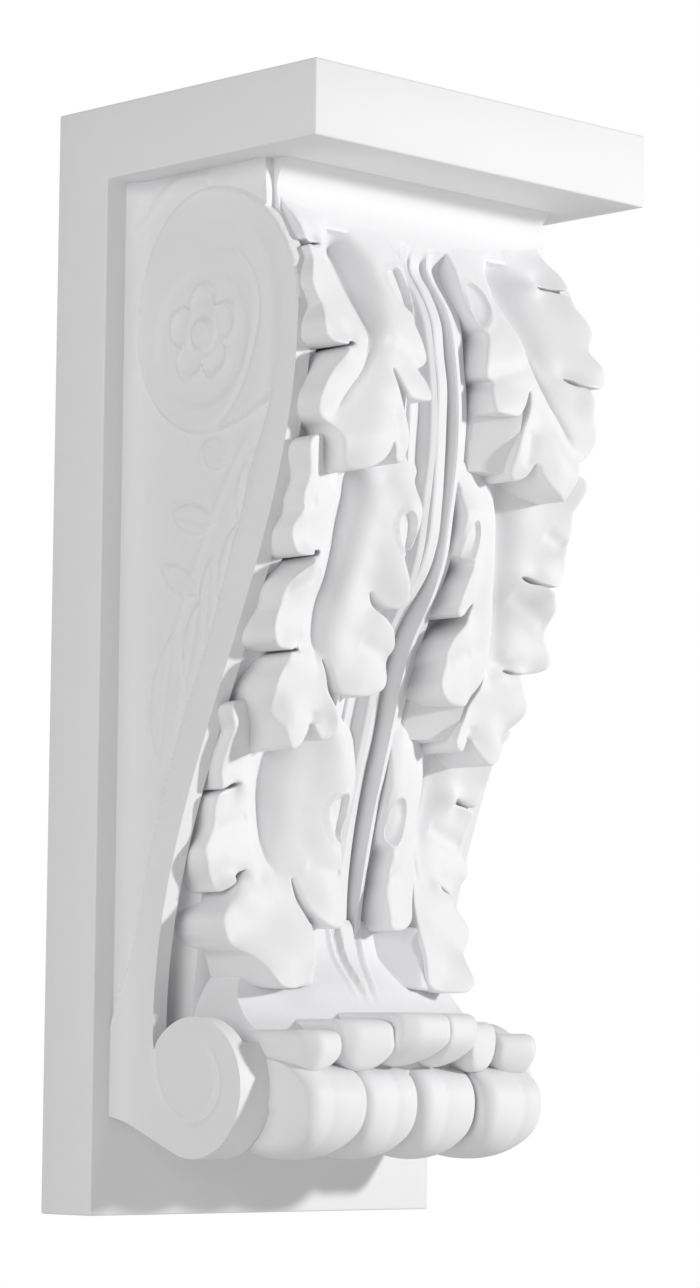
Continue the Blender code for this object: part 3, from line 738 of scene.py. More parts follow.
LOWER_BLADE = {
    "outline": [
        (7.0, 136), (6.8, 126), (6.7, 116), (6.7, 107.5), (7.6, 101.6), (9.6, 98.6), (8.9, 94),
        (8.8, 90.5), (8, 86), (8.3, 81.2), (9.2, 77.6), (13, 77.3), (17, 79.2), (19.8, 82.4),
        (23.1, 90.2), (22.6, 85.2), (21.2, 80.4), (20.2, 75.9), (20.6, 71.2), (21.4, 66.8),
        (22.8, 63.2), (25.6, 61.2), (31, 60.6), (35.6, 61.2), (38.2, 63.6), (39.6, 66.8),
        (41, 69.2), (43.6, 71), (45.8, 74), (46.9, 77), (46.6, 79.8),
        *notch((42.8, 84.4), (44.6, 86), (36.5, 92.1), 1.2), (46.4, 88.6), (49.2, 92.6),
        (50.2, 96.6), (48.3, 100.7), (48.0, 104.2), (49.0, 108.2),
        *notch((48.8, 111.4), (48.4, 113), (41.3, 114.9), 1.1), (49.4, 115), (50.5, 118.4),
        (50.7, 123), (50.3, 128), (50.3, 136),
    ],
    "rim": [
        (7, 134, 2), (6.9, 125, 8), (6.8, 117, 11.6), (6.8, 108.5, 12), (7.5, 102, 12.4),
        (9.8, 98.2, 16.4), (8.9, 93.7, 17.2), (9.4, 89.4, 17.8), (8.2, 86, 19.2), (8.5, 82, 21.2),
        (9.6, 78, 22),
    ],
    "lobe": [
        (9.6, 115.4, 13), (13.3, 113, 12.4), (15, 110, 12), (15, 106.6, 12.9),
        (13.8, 102.6, 14.6), (12, 99, 16.2), (12, 124, 9.8), (12.4, 132, 5), (18, 132, 3),
        (19.4, 124, 6), (20.4, 116, 7.8), (20.8, 108, 9), (20, 100, 11.6), (15, 94, 16.6),
        (14.6, 86, 19.8), (14.4, 79.6, 21.6), (18.8, 83, 18.8), (20.6, 93, 14.6),
    ],
    "wall": [
        (26, 128, 0.4), (26.6, 121, 2.6), (27, 114, 3.8), (26, 107, 5.6), (25.4, 100.4, 8.2),
        (24.6, 95, 11),
    ],
    "trough": [
        (29, 131, -3), (30.2, 125, -2), (30.7, 119, -1), (30.4, 113.6, 0), (29, 106, 2),
        (28.6, 100, 4.8), (28.2, 95.4, 8), (26.6, 90.4, 11.6),
    ],
    "edge": [
        (50.3, 130, 5.2), (50.3, 120.6, 5.2), (50.1, 118.2, 4.8), (48.2, 114.2, 5.2),
        (48.6, 109, 4.8), (47.6, 104.1, 4.8), (47.9, 100.7, 4.8), (50.2, 96.9, 6),
        (49.4, 94.8, 7.4), (45.8, 90.4, 7), (44.9, 87, 8), (39.8, 88.2, 12.2), (42, 84.7, 13.3),
        (45.6, 80.7, 14.4), (46.5, 78.2, 15.1), (45.9, 75.2, 15.8), (43.8, 71.6, 17),
    ],
    "notches": [(41, 115.8, 4), (41, 114, 4.6), (36.4, 93, 8.6), (36, 91, 11)],
    "end": [
        (24.4, 84.6, 15.6), (22.5, 84.6, 16.2), (21.4, 80.4, 19.4), (20.6, 75.9, 22.8),
        (21, 71.4, 24.9), (21.8, 67, 25.5), (23.4, 63.4, 25), (27, 61.8, 25.4), (26.5, 79, 19.4),
        (27, 71.5, 23.4), (30.5, 84, 15.2), (33, 77, 17.6), (33.5, 69, 23.2), (31, 62, 27),
        (39, 79, 15.6), (39.6, 72, 19), (41.4, 70.4, 20), (39.4, 67.6, 24), (38, 64.4, 27.6),
        (35.4, 62, 28.4), (30, 88.6, 12.4),
    ],
    "eye": [
        (9.8, 113.2), (12.4, 112.8), (14.2, 110.4), (14.4, 107.6), (13.3, 103.8), (11.4, 100.6),
        (9.6, 100.4), (8.4, 103), (8.2, 106.6), (8.6, 110.8),
    ],
    "gouges": [
        ([(35, 107), (40, 105), (47, 102.5)], 1.8, 0.7),
        ([(9.6, 92), (15, 93), (20, 94)], 2.0, 0.6),
    ],
}
# The outline of the flap between the collar and the lowest blade, as (across, height).
GORE = (
    (6.6, 77.6), (6.4, 71), (9, 65.8), (13.7, 62.6), (20, 61.6), (25.6, 61.8), (24.4, 68),
    (22.4, 77.6),
)
EYE_DEPTH = 1.2
# Points lie in rings just inside an outline, then in an even field of rows. The gaps say how near
# that field may come to the rings and to the guides, and how far apart its rows are, for each
# millimetre of spacing.
RING_DEPTHS = (0.14, 0.38, 0.75, 1.2)
RING_SHARE, GUIDE_INSET = 0.93, 1.5
RING_GAP, GUIDE_GAP, ROW_GAP = 0.45, 0.55, 0.866
GORE_SPACING, GORE_EDGE = 1.2, (1.2, 1.0)
SHEET_PARTS = ("rim", "lobe", "edge", "notches", "top", "fork", "end")


def beside(path, offsets, closed=False):
    """Rows of points running along a path, at distances to either side of it."""
    run = np.roll(path, -1, axis=0) - np.roll(path, 1, axis=0)
    if not closed:
        run[0], run[-1] = path[1] - path[0], path[-1] - path[-2]
    away = np.stack([-run[:, 1], run[:, 0]], axis=1) / np.linalg.norm(run, axis=1)[:, None]
    return np.concatenate([path + away * offset for offset in offsets])


def blade_places(outline, spacing, guides):
    """The outline's points, then points inside it, closer together towards edge and guides."""
    run = np.roll(outline, -1, axis=0) - np.roll(outline, 1, axis=0)
    inward = np.stack([-run[:, 1], run[:, 0]], axis=1) / np.linalg.norm(run, axis=1)[:, None]
    if not inside(outline, outline[:1] + inward[:1] * 0.2)[0]:
        inward = -inward
    rings = []
    for depth in RING_DEPTHS:
        ring = outline + inward * depth
        gap, _ = distance_to(outline, ring, closed=True)
        rings.append(ring[(gap > depth * RING_SHARE) & inside(outline, ring)])
    low, high = outline.min(0), outline.max(0)
    rows = np.arange(low[1], high[1], spacing * ROW_GAP)
    field = []
    for number, height in enumerate(rows):
        start = low[0] + (number % 2) * spacing / 2
        field += [(x, height) for x in np.arange(start, high[0], spacing)]
    field = np.array(field)
    field = field[inside(outline, field)]
    gap, _ = distance_to(outline, field, closed=True)
    field = field[gap > RING_DEPTHS[-1] + spacing * RING_GAP]
    if len(guides):
        gap, _ = distance_to(outline, guides, closed=True)
        guides = guides[(gap > GUIDE_INSET) & inside(outline, guides)]
        rings.append(guides)
        apart = np.hypot(*(field[:, None] - guides[None]).transpose(2, 0, 1)).min(1)
        field = field[apart > spacing * GUIDE_GAP]
    return np.concatenate([outline] + rings + [field])


def eye_mark(across, height, eye):
    """A drop-shaped hollow with a raised rim, deeper towards the stem."""
    places = np.c_[across, height]
    outline = rounded(eye, 0.6)
    gap, _ = distance_to(outline, places, closed=True)
    within = np.where(inside(outline, places), gap, -gap)
    middle, half = outline[:, 0].mean(), np.ptp(outline[:, 0]) / 2
    depth = EYE_DEPTH * (1.1 - 0.45 * np.clip((across - middle) / half, -1, 1))
    return 0.6 * np.exp(-(((within + 0.35) / 0.5) ** 2)) - depth * eased((within + 0.1) / 1.2)


def slope_between(trough, edge):
    """Points on the straight slope that climbs from the trough to the fingers' edge."""
    rims = np.array(sorted(edge, key=lambda point: point[1]))
    made = []
    for across, height, rise in trough:
        rim_across, rim_rise = (np.interp(height, rims[:, 1], rims[:, k]) for k in (0, 2))
        for share in (0.3, 0.62):
            start, end = np.array((across, rise)), np.array((rim_across, rim_rise))
            place = start + (end - start) * share
            made.append((place[0], height, place[1]))
    return made


def blade_guides(strokes):
    """Places along the trough and round the eye, where the surface turns sharply."""
    trough = rounded([point[:2] for point in strokes["trough"]], 0.9, closed=False)
    eye = rounded(strokes["eye"], 0.7)
    rows = beside(trough, (-2.4, -1.5, -0.8, -0.3, 0.3, 0.8, 1.5))
    return np.concatenate([rows, beside(eye, (-0.9, -0.4, 0.1, 0.6), closed=True)])


def blade_rise(strokes, across, height):
    """The carved face of a blade: a sheet over its strokes, its eye and its cuts."""
    points = [point for part in SHEET_PARTS for point in strokes.get(part, ())]
    points += slope_between(strokes["trough"], strokes["edge"])
    for part in ("trough", "wall"):
        points += [tuple(point) for point in rounded(strokes[part], 2.2, closed=False)]
    sheet = stretched_over(points)
    rise = sheet(across, height) + eye_mark(across, height, strokes["eye"])
    places = np.c_[across, height]
    crease = [point[:2] for point in strokes["trough"]]
    rise = rise - 1.2 * stroke(crease, places, 0.8)
    for path, width, depth in strokes["gouges"]:
        rise = rise - depth * stroke(path, places, width)
    return rise


def edge_fall(gap, radius, depth):
    """How far a rounded edge falls away, at each distance in from the outline."""
    return depth * quarter(1 - gap / radius)


def filled(places, count):
    """Joins places into triangles, inside the outline that the first of them make."""
    points, _, faces, _, _, _ = delaunay_2d_cdt(
        [Vector(place) for place in places], [], [tuple(range(count))], 1, 1e-5
    )
    return np.array([tuple(point) for point in points]), [tuple(face) for face in faces]


def plaque(name, outline, spacing, rise_at, edge, side, guides=()):
    """A closed piece: a carved front inside an outline, straight sides, a back in the bracket."""
    count = len(outline)
    flat, faces = filled(blade_places(outline, spacing, guides), count)
    gap, _ = distance_to(outline, flat, closed=True)
    rise = rise_at(flat[:, 0], flat[:, 1]) - edge_fall(gap, *edge)
    front = placed(side * flat[:, 0], base_forward(flat[:, 1]) + rise, flat[:, 1])
    rear, rear_faces = filled(outline, count)
    back = placed(side * rear[:, 0], np.full(len(rear), HIDDEN_BACK), rear[:, 1])
    offset = len(front)
    walls = [(k, (k + 1) % count, offset + (k + 1) % count, offset + k) for k in range(count)]
    rest = [tuple(offset + index for index in face) for face in rear_faces]
    return solid_from(name, np.r_[front, back], faces + walls + rest)


def gore_rise(across, height):
    """The flat flap that closes the gap between the collar and the lowest blade."""
    return np.minimum(12 + 0.95 * (across - 8), 24.2) - 0.35 * np.clip(height - 70, 0, 8)


def blade(strokes, sizes, side):
    """One blade of the leaf."""

    def rise(across, height):
        return blade_rise(strokes, across, height)

    outline = rounded(strokes["outline"], sizes.edge_step / MM)
    edge = (sizes.edge_radius / MM, sizes.edge_radius / MM)
    guides = blade_guides(strokes)
    return plaque("blade", outline, sizes.spacing / MM, rise, edge, side, guides)


# ---------------------------------------------------------------- collar and petals


COLLAR_FOOT, COLLAR_TOP = 38, 80
# The cove's depth and its half width, at each height.
COLLAR_FORWARD = through((
    (80, 49), (76, 50), (69, 52.4), (64, 55.8), (61, 58), (58, 60), (55, 62.8), (52, 66.5),
    (50, 70), (48, 73), (45, 75), (40, 75),
))
COLLAR_EDGE = through((
    (80, 24), (70, 32), (62, 39.5), (58.5, 41.4), (54, 42.8), (50, 44), (38, 44),
))


def collar():
    """The plain cove under the leaf, with the tail of the stem running down it."""

    def surface(s, t):
        height = COLLAR_FOOT + (COLLAR_TOP - COLLAR_FOOT) * t
        across = (2 * s - 1) * COLLAR_EDGE(height)
        u = np.abs(across)
        forward = COLLAR_FORWARD(height) - 7.4 * (u / 41.3) ** 2 * eased((80 - height) / 16)
        fade = eased((height - 54.5) / 10) * eased((81 - height) / 3)
        half = 0.7 + 1.9 * eased((height - 56) / 18)
        tail = 1.5 * eased((half + 0.6 - u) / 1.0) - 0.5 * hump(u - half - 1.3, 1.0)
        second = 0.8 * hump(u - half - 3.2, 1.4)
        return placed(across, forward + (tail + second) * fade, height)

    return walled(bent_grid("collar", 132, 84, surface), FORWARD, -HIDDEN_BACK)


def petal_fall(across, start, middle, end, swell):
    """How far a two-lobed petal falls behind its front, at each place across it."""
    fall = np.zeros(np.shape(across))
    for low, high in ((start, middle), (middle, end)):
        centre, half = (low + high) / 2, (high - low) / 2
        t = np.clip(np.abs(across - centre) / half, 0, 1)
        lobe = swell * (1 - np.sqrt(1 - 0.96 * t**2))
        fall = np.where((across >= low) & (across <= high), lobe, fall)
    edge = np.minimum(across - start, end - across)
    return fall + END_FALL[0] * quarter(1 - edge / END_FALL[1])


def lower_petal(start, middle, end, front, swell):
    """A closed bag-shaped petal of two lobes: flat on top, full in front, rounded underneath."""
    deselect_all()
    bpy.ops.mesh.primitive_uv_sphere_add(segments=72, ring_count=56, radius=1)
    lump = bpy.context.object
    flat = vertex_places(lump)
    turn = np.arctan2(flat[:, 1], flat[:, 0])
    s = np.sin(np.pi / 2 * np.clip(flat[:, 2], -1, 1))
    centre, half = (start + end) / 2, (end - start) / 2
    across = centre + s * half
    low = np.clip(-1.3 * np.sin(turn), 0, 1)
    edge = np.minimum(across - start, end - across)
    wide = front - PETAL_AXIS[0] - petal_fall(across, start, middle, end, swell)
    tall = np.where(turn > 0, PETAL_TOP - PETAL_AXIS[1], PETAL_AXIS[1] - PETAL_FOOT)
    tall = tall - CUSP_RISE[0] * low * quarter(1 - edge / CUSP_RISE[1])
    reach = np.sqrt(np.clip((1 - s**2) / (1 - PETAL_ENDS**2), 0, 1))
    squared = np.abs(np.cos(turn)) ** PETAL_FULLNESS + np.abs(np.sin(turn)) ** PETAL_FULLNESS
    reach = reach / squared ** (1 / PETAL_FULLNESS)
    points = placed(
        centre + (across - centre) * (1 - 0.07 * low**2),
        PETAL_AXIS[0] + wide * reach * np.cos(turn),
        PETAL_AXIS[1] + tall * reach * np.sin(turn),
    )
    lump.data.vertices.foreach_set("co", points.ravel())
    face_outwards(lump)
    return lump


def upper_petal(start, end, top, foot, keel, front, inwards, outwards, side, edge, spacing):
    """A tongue that comes out over the collar, hangs over the lower petals and curls back."""
    middle, half = (start + end) / 2, (end - start) / 2
    low = foot + 0.4 * (top - foot)
    outline = [(middle, top), (middle - 0.5 * half, top), (middle - 0.9 * half, top - 0.2)]
    outline += [(middle - half, top - 1.4), (middle - half, (top + low) / 2), (middle - half, low)]
    outline += [(middle - 0.72 * half, foot + 0.14 * (top - foot)), (middle - 0.3 * half, foot)]
    outline += [(2 * middle - x, z) for x, z in reversed(outline[1:])]

    def rise(across, height):
        away = across - keel
        fall = 0.5 * (outwards - inwards) * away
        fall = fall + 0.5 * (outwards + inwards) * (np.sqrt(away**2 + 0.6) - 0.6)
        curled = np.clip((low + 3 - height) / (low + 3 - foot), 0, 1) ** 2
        curl = max(3.0, front - TIP_FORWARD) * curled
        t = np.clip((height - top + 4) / 4, 0, 0.97)
        return front - fall - curl - 3.2 * quarter(t) - base_forward(height)

    outline = rounded(outline, PETAL_STEP)
    return plaque("upper_petal", outline, spacing, rise, (edge, edge), side)


# ---------------------------------------------------------------- settings


class BRACKET_BlockSizes(bpy.types.PropertyGroup):
    slab: FloatProperty(
        name="Slab thickness",
        description="Height of the square slab on top",
        default=0.0204,
        unit="LENGTH",
    )
    plate: FloatProperty(
        name="Plate thickness",
        description="Thickness of the plate that goes on the wall",
        default=0.0202,
        unit="LENGTH",
    )
    softness: FloatProperty(
        name="Edge softness",
        description="Width of the worn edge on the block's corners",
        default=0.0006,
        unit="LENGTH",
    )


class BRACKET_ScrollSizes(bpy.types.PropertyGroup):
    half_width: FloatProperty(
        name="Half width",
        description="From the middle to the face of the raised band",
        default=0.0554,
        unit="LENGTH",
    )
    field_sink: FloatProperty(
        name="Field sink",
        description="How deep the side field lies under the band",
        default=0.0016,
        unit="LENGTH",
    )
    spacing: FloatProperty(
        name="Grid spacing",
        description="Distance between the side carving's mesh lines",
        default=0.00065,
        unit="LENGTH",
    )


class BRACKET_LeafSizes(bpy.types.PropertyGroup):
    edge_radius: FloatProperty(
        name="Edge radius",
        description="Roundness of the leaf's edges",
        default=0.0008,
        unit="LENGTH",
    )
    edge_step: FloatProperty(
        name="Edge step",
        description="Distance between points along a blade's outline",
        default=0.0006,
        unit="LENGTH",
    )
    spacing: FloatProperty(
        name="Surface spacing",
        description="Distance between points on a blade's face",
        default=0.0009,
        unit="LENGTH",
    )


class BRACKET_PetalSizes(bpy.types.PropertyGroup):
    swell: FloatProperty(
        name="Lobe swell",
        description="How far each lobe of a lower petal swells over the groove beside it",
        default=0.0011,
        unit="LENGTH",
    )
    edge_radius: FloatProperty(
        name="Edge radius",
        description="Roundness of the upper petals' edges",
        default=0.0015,
        unit="LENGTH",
    )
    spacing: FloatProperty(
        name="Surface spacing",
        description="Distance between points on an upper petal's face",
        default=0.001,
        unit="LENGTH",
    )


class BRACKET_Finish(bpy.types.PropertyGroup):
    primer: FloatVectorProperty(
        name="Primer",
        description="Colour of the matte white primer",
        subtype="COLOR",
        size=3,
        default=(0.83, 0.83, 0.84),
        min=0,
        max=1,
    )
    # The hollows' colour is painted shade: it darkens the primer in deep cuts and creases.
    painted_shade: FloatVectorProperty(
        name="Painted Shade Colour",
        description="Colour of the painted shade in deep cuts and creases",
        subtype="COLOR",
        size=3,
        default=(0.76, 0.76, 0.775),
        min=0,
        max=1,
    )
    roughness: FloatProperty(
        name="Roughness",
        description="How matte the primer is",
        default=0.58,
        min=0,
        max=1,
        subtype="FACTOR",
    )
    floor: FloatVectorProperty(
        name="Floor",
        description="Colour of the studio floor",
        subtype="COLOR",
        size=3,
        default=(0.86, 0.86, 0.85),
        min=0,
        max=1,
    )


class BRACKET_Studio(bpy.types.PropertyGroup):
    turn: FloatProperty(
        name="Camera turn",
        description="Turn of the camera to the bracket's left",
        default=0.77607,
        subtype="ANGLE",
    )
    tilt: FloatProperty(
        name="Camera tilt",
        description="Upward tilt of the camera",
        default=0.10048,
        subtype="ANGLE",
    )
    roll: FloatProperty(
        name="Camera roll", description="Roll of the camera", default=0.010614, subtype="ANGLE"
    )
    place: FloatVectorProperty(
        name="Camera place",
        description="Where the camera stands",
        subtype="TRANSLATION",
        unit="LENGTH",
        size=3,
        default=(-0.8134, -0.8799, -0.1116),
    )
    lens: FloatProperty(name="Lens", description="Focal length", default=119.0, unit="CAMERA")
    key: FloatProperty(name="Key light", description="Power of the key light", default=15.8)
    fill: FloatProperty(name="Fill light", description="Power of the fill light", default=7.6)
    sky: FloatProperty(name="Room light", description="Strength of the white room", default=0.27)
    floor_drop: FloatProperty(
        name="Floor drop",
        description="How far the floor lies under the bracket",
        default=0.30,
        unit="LENGTH",
    )


# ---------------------------------------------------------------- operators


class BRACKET_OT_block(bpy.types.Operator):
    """Models the wall plate and the slab on top of it"""

    bl_idname = "bracket.block"
    bl_label = "Plate and Slab"

    def execute(self, context):
        sizes = context.scene.bracket_block
        deselect_all()
        depth = sizes.plate
        bpy.ops.mesh.primitive_cube_add(size=1, location=(0, -depth / 2, 0))
        block = context.object
        block.name = "block"
        block.scale = (2 * HALF_WIDTH * MM, depth, 2 * HALF_HEIGHT * MM)
        bpy.ops.object.transform_apply(location=True, rotation=True, scale=True)
        bpy.ops.object.mode_set(mode="EDIT")
        bpy.ops.mesh.select_mode(type="FACE")
        bpy.ops.mesh.select_all(action="SELECT")
        underside = HALF_HEIGHT * MM - sizes.slab
        bpy.ops.mesh.bisect(plane_co=(0, 0, underside), plane_no=(0, 0, 1))
        bpy.ops.mesh.select_all(action="DESELECT")
        shape = bmesh.from_edit_mesh(block.data)
        shape.normal_update()
        for face in shape.faces:
            middle = face.calc_center_median()
            face.select_set(middle.z > underside and face.normal.y < -0.5)
        bmesh.update_edit_mesh(block.data)
        bpy.ops.mesh.extrude_region_move(
            TRANSFORM_OT_translate={"value": (0, -(REACH * MM - depth), 0)}
        )
        bpy.ops.mesh.select_all(action="SELECT")
        bpy.ops.mesh.normals_make_consistent(inside=False)
        bpy.ops.object.mode_set(mode="OBJECT")
        applied(block, "BEVEL", width=sizes.softness, segments=3, limit_method="ANGLE")
        return {"FINISHED"}


class BRACKET_OT_scroll(bpy.types.Operator):
    """Models the scroll with the low carving on both of its sides"""

    bl_idname = "bracket.scroll"
    bl_label = "Scroll"

    def execute(self, context):
        sizes = context.scene.bracket_scroll
        block = context.scene.bracket_block
        plate = block.plate / MM
        underside = 2 * HALF_HEIGHT - block.slab / MM
        near, far = plate - 4, S_HIGH_FORWARD + 3
        low, high = LOWER_EYE[1] - LOWER_RADIUS - 2, underside + 10
        columns = round((far - near) * MM / sizes.spacing)
        rows = round((high - low) * MM / sizes.spacing)
        halves = []
        for side in (-1, 1):

            def surface(s, t):
                forward, height = near + (far - near) * s, low + (high - low) * t
                return placed(side * side_half_width(forward, height, sizes), forward, height)

            cheek = bent_grid("cheek", columns, rows, surface)
            halves.append(walled(cheek, ACROSS, -side * CHEEK_OVERLAP))
        scroll = combined(halves[0], halves[1])
        scroll.name = "scroll"
        outline = prism("outline", scroll_outline(plate, underside), HALF_WIDTH - 2)
        combined(scroll, outline, "INTERSECT")
        combined(scroll, leaf_channel(underside), "DIFFERENCE")
        combined(scroll, roll_hollow(plate), "DIFFERENCE")
        applied(scroll, "DECIMATE", ratio=SCROLL_DETAIL)
        return {"FINISHED"}


class BRACKET_OT_leaf(bpy.types.Operator):
    """Models the throat, the stem and the six blades of the leaf"""

    bl_idname = "bracket.leaf"
    bl_label = "Acanthus Leaf"

    def execute(self, context):
        sizes = context.scene.bracket_leaf
        underside = 2 * HALF_HEIGHT - context.scene.bracket_block.slab / MM
        leaf = ground(underside + 4, 44)
        leaf.name = "leaf"
        for strokes in (UPPER_BLADE, MIDDLE_BLADE, LOWER_BLADE):
            for side in (-1, 1):
                combined(leaf, blade(strokes, sizes, side))
        gore = rounded(GORE, PETAL_STEP)
        for side in (-1, 1):
            combined(leaf, plaque("gore", gore, GORE_SPACING, gore_rise, GORE_EDGE, side))
        return {"FINISHED"}


class BRACKET_OT_petals(bpy.types.Operator):
    """Models the collar and the two rows of petals at the foot"""

    bl_idname = "bracket.petals"
    bl_label = "Collar and Petals"

    def execute(self, context):
        sizes = context.scene.bracket_petals
        # Settings are kept in single precision, so they are rounded to a tenth of a micron.
        lengths = (sizes.swell, sizes.edge_radius, sizes.spacing)
        swell, edge, spacing = (round(length / MM, 4) for length in lengths)
        roll = collar()
        roll.name = "petals"
        for side in (-1, 1):
            for start, groove, end, front in LOWER_PETALS:
                low, high = sorted((side * start, side * end))
                combined(roll, lower_petal(low, side * groove, high, front, swell))
            for petal in UPPER_PETALS:
                combined(roll, upper_petal(*petal, side, edge, spacing))
        return {"FINISHED"}


class BRACKET_OT_cast(bpy.types.Operator):
    """Casts block, scroll, leaf and petals in one, and smooths what is round"""

    bl_idname = "bracket.cast"
    bl_label = "Cast in One"

    def execute(self, context):
        cast = bpy.data.objects["block"]
        for name in ("scroll", "leaf", "petals"):
            combined(cast, bpy.data.objects[name])
        cast.name = "carved_bracket"
        cast.data.name = "carved_bracket"
        triangles = sum(len(face.vertices) - 2 for face in cast.data.polygons)
        if triangles > MOST_TRIANGLES:
            applied(cast, "DECIMATE", ratio=MOST_TRIANGLES / triangles)
        only(cast)
        bpy.ops.object.shade_smooth_by_angle(angle=math.radians(38))
        cast.data.materials.clear()
        cast.data.materials.append(primer_finish(context.scene.bracket_finish))
        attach(cast, "root")
        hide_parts("console_bracket")
        return {"FINISHED"}


# ---------------------------------------------------------------- finish


def node(tree, kind, place, inputs=None, **settings):
    """Adds a node with these settings and fixed input values."""
    made = tree.nodes.new(kind)
    made.location = place
    for name, value in settings.items():
        setattr(made, name, value)
    for name, value in (inputs or {}).items():
        made.inputs[name].default_value = value
    return made


def wired(tree, *links):
    """Links an output to an input, for each (node, its output, node, its input)."""
    for start, output, end, entry in links:
        tree.links.new(start.outputs[output], end.inputs[entry])


def primer_group():
    """Node group: painted shade where the surfaces close in round hollows and creases, faint
    mottling, and the height of its tooth.
    """
    group = bpy.data.node_groups.new("primer surface", "ShaderNodeTree")
    sockets = group.interface
    for name, default in (("Mottle Size", 60.0), ("Tooth Size", 900.0), ("Hollow Reach", 0.006)):
        socket = sockets.new_socket(name=name, in_out="INPUT", socket_type="NodeSocketFloat")
        socket.default_value = default
    for name in ("Hollow", "Mottle", "Height"):
        sockets.new_socket(name=name, in_out="OUTPUT", socket_type="NodeSocketFloat")
    inlet = node(group, "NodeGroupInput", (-900, 0))
    outlet = node(group, "NodeGroupOutput", (500, 0))
    coords = node(group, "ShaderNodeTexCoord", (-900, -250))
    mottle = node(group, "ShaderNodeTexNoise", (-500, 200), {"Detail": 4})
    tooth = node(group, "ShaderNodeTexNoise", (-500, -250), {"Detail": 3})
    # Painted shade: ambient occlusion makes the colour darker in creases and hollows.
    painted_shade = node(group, "ShaderNodeAmbientOcclusion", (-500, 0), samples=6, only_local=True)
    shades = {"From Min": 0.2, "From Max": 0.85, "To Min": 1.0, "To Max": 0.0}
    darker = node(group, "ShaderNodeMapRange", (-200, 0), shades, interpolation_type="SMOOTHSTEP")
    wired(
        group,
        (inlet, "Mottle Size", mottle, "Scale"),
        (inlet, "Tooth Size", tooth, "Scale"),
        (inlet, "Hollow Reach", painted_shade, "Distance"),
        (coords, "Object", mottle, "Vector"),
        (coords, "Object", tooth, "Vector"),
        (painted_shade, "AO", darker, "Value"),
        (darker, "Result", outlet, "Hollow"),
        (mottle, "Fac", outlet, "Mottle"),
        (tooth, "Fac", outlet, "Height"),
    )
    return group


def primer_finish(colours):
    """Matte white factory primer over a moulded part, with painted shade in its hollows and
    creases.
    """
    finish = bpy.data.materials.new("white_primer")
    finish.use_nodes = True
    tree = finish.node_tree
    shader = tree.nodes["Principled BSDF"]
    shader.inputs["Metallic"].default_value = 0.0
    shader.inputs["Specular IOR Level"].default_value = 0.35
    surface = node(tree, "ShaderNodeGroup", (-900, 0), node_tree=primer_group())
    # Painted shade: the darker colour is mixed into the primer where the surfaces close in.
    paints = {"A": (*colours.primer, 1), "B": (*colours.painted_shade, 1)}
    shade_mixed_in = node(tree, "ShaderNodeMix", (-500, 200), paints, data_type="RGBA")
    gloss = {"To Min": colours.roughness - 0.05, "To Max": colours.roughness + 0.05}
    patchy = node(tree, "ShaderNodeMapRange", (-500, -50), gloss)
    shade = node(tree, "ShaderNodeMapRange", (-700, 400), {"To Min": 0.975, "To Max": 1.0})
    toned = node(tree, "ShaderNodeVectorMath", (-250, 250), operation="SCALE")
    bump = node(tree, "ShaderNodeBump", (-250, -250), {"Strength": 0.12, "Distance": 0.0002})
    wired(
        tree,
        (surface, "Hollow", shade_mixed_in, "Factor"),
        (surface, "Mottle", shade, "Value"),
        (shade_mixed_in, "Result", toned, 0),
        (shade, "Result", toned, "Scale"),
        (toned, "Vector", shader, "Base Color"),
        (surface, "Mottle", patchy, "Value"),
        (patchy, "Result", shader, "Roughness"),
        (surface, "Height", bump, "Height"),
        (bump, "Normal", shader, "Normal"),
    )
    return finish


# ---------------------------------------------------------------- studio


KEY_PLACE, KEY_SIZE = (0.82, -1.3, 0.28), 0.12
FILL_PLACE, FILL_SIZE = (-1.3, -0.3, 0.2), 1.2
LIGHTS_AIM = (0, -0.04, 0.0)
FLOOR_WIDTH = 6


class BRACKET_OT_studio(bpy.types.Operator):
    """Sets the camera, the soft lights, the white room and the pale floor"""

    bl_idname = "bracket.studio"
    bl_label = "Studio"

    def execute(self, context):
        scene = context.scene
        studio = scene.bracket_studio
        add_camera(scene, studio)
        add_light("key light", KEY_PLACE, KEY_SIZE, studio.key)
        add_light("fill light", FILL_PLACE, FILL_SIZE, studio.fill)
        add_room(scene, studio.sky)
        add_floor(scene)
        scene.view_settings.view_transform = "Standard"
        scene.view_settings.look = "None"
        return {"FINISHED"}


def add_camera(scene, studio):
    """A camera that looks level along +Y before its turn, tilt and roll."""
    turn, tilt, roll = studio.turn, studio.tilt, studio.roll
    level = math.cos(tilt)
    ahead = Vector((math.sin(turn) * level, math.cos(turn) * level, math.sin(tilt)))
    right = Vector((math.cos(turn), -math.sin(turn), 0))
    up = right.cross(ahead)
    side = right * math.cos(roll) + up * math.sin(roll)
    top = up * math.cos(roll) - right * math.sin(roll)
    lens = bpy.data.cameras.new("camera")
    lens.sensor_width = 36
    lens.lens = studio.lens
    lens.clip_start = 0.01
    camera = bpy.data.objects.new("camera", lens)
    turned = Matrix((side, top, -ahead)).transposed().to_4x4()
    camera.matrix_world = Matrix.Translation(studio.place) @ turned
    scene.collection.objects.link(camera)
    scene.camera = camera


def add_light(name, place, size, power):
    """A round soft light, turned to the middle of the bracket."""
    lamp = bpy.data.lights.new(name, "AREA")
    lamp.shape = "DISK"
    lamp.size = size
    lamp.energy = power
    light = bpy.data.objects.new(name, lamp)
    aim = Vector(LIGHTS_AIM) - Vector(place)
    turned = aim.to_track_quat("-Z", "Y").to_matrix().to_4x4()
    light.matrix_world = Matrix.Translation(place) @ turned
    bpy.context.scene.collection.objects.link(light)


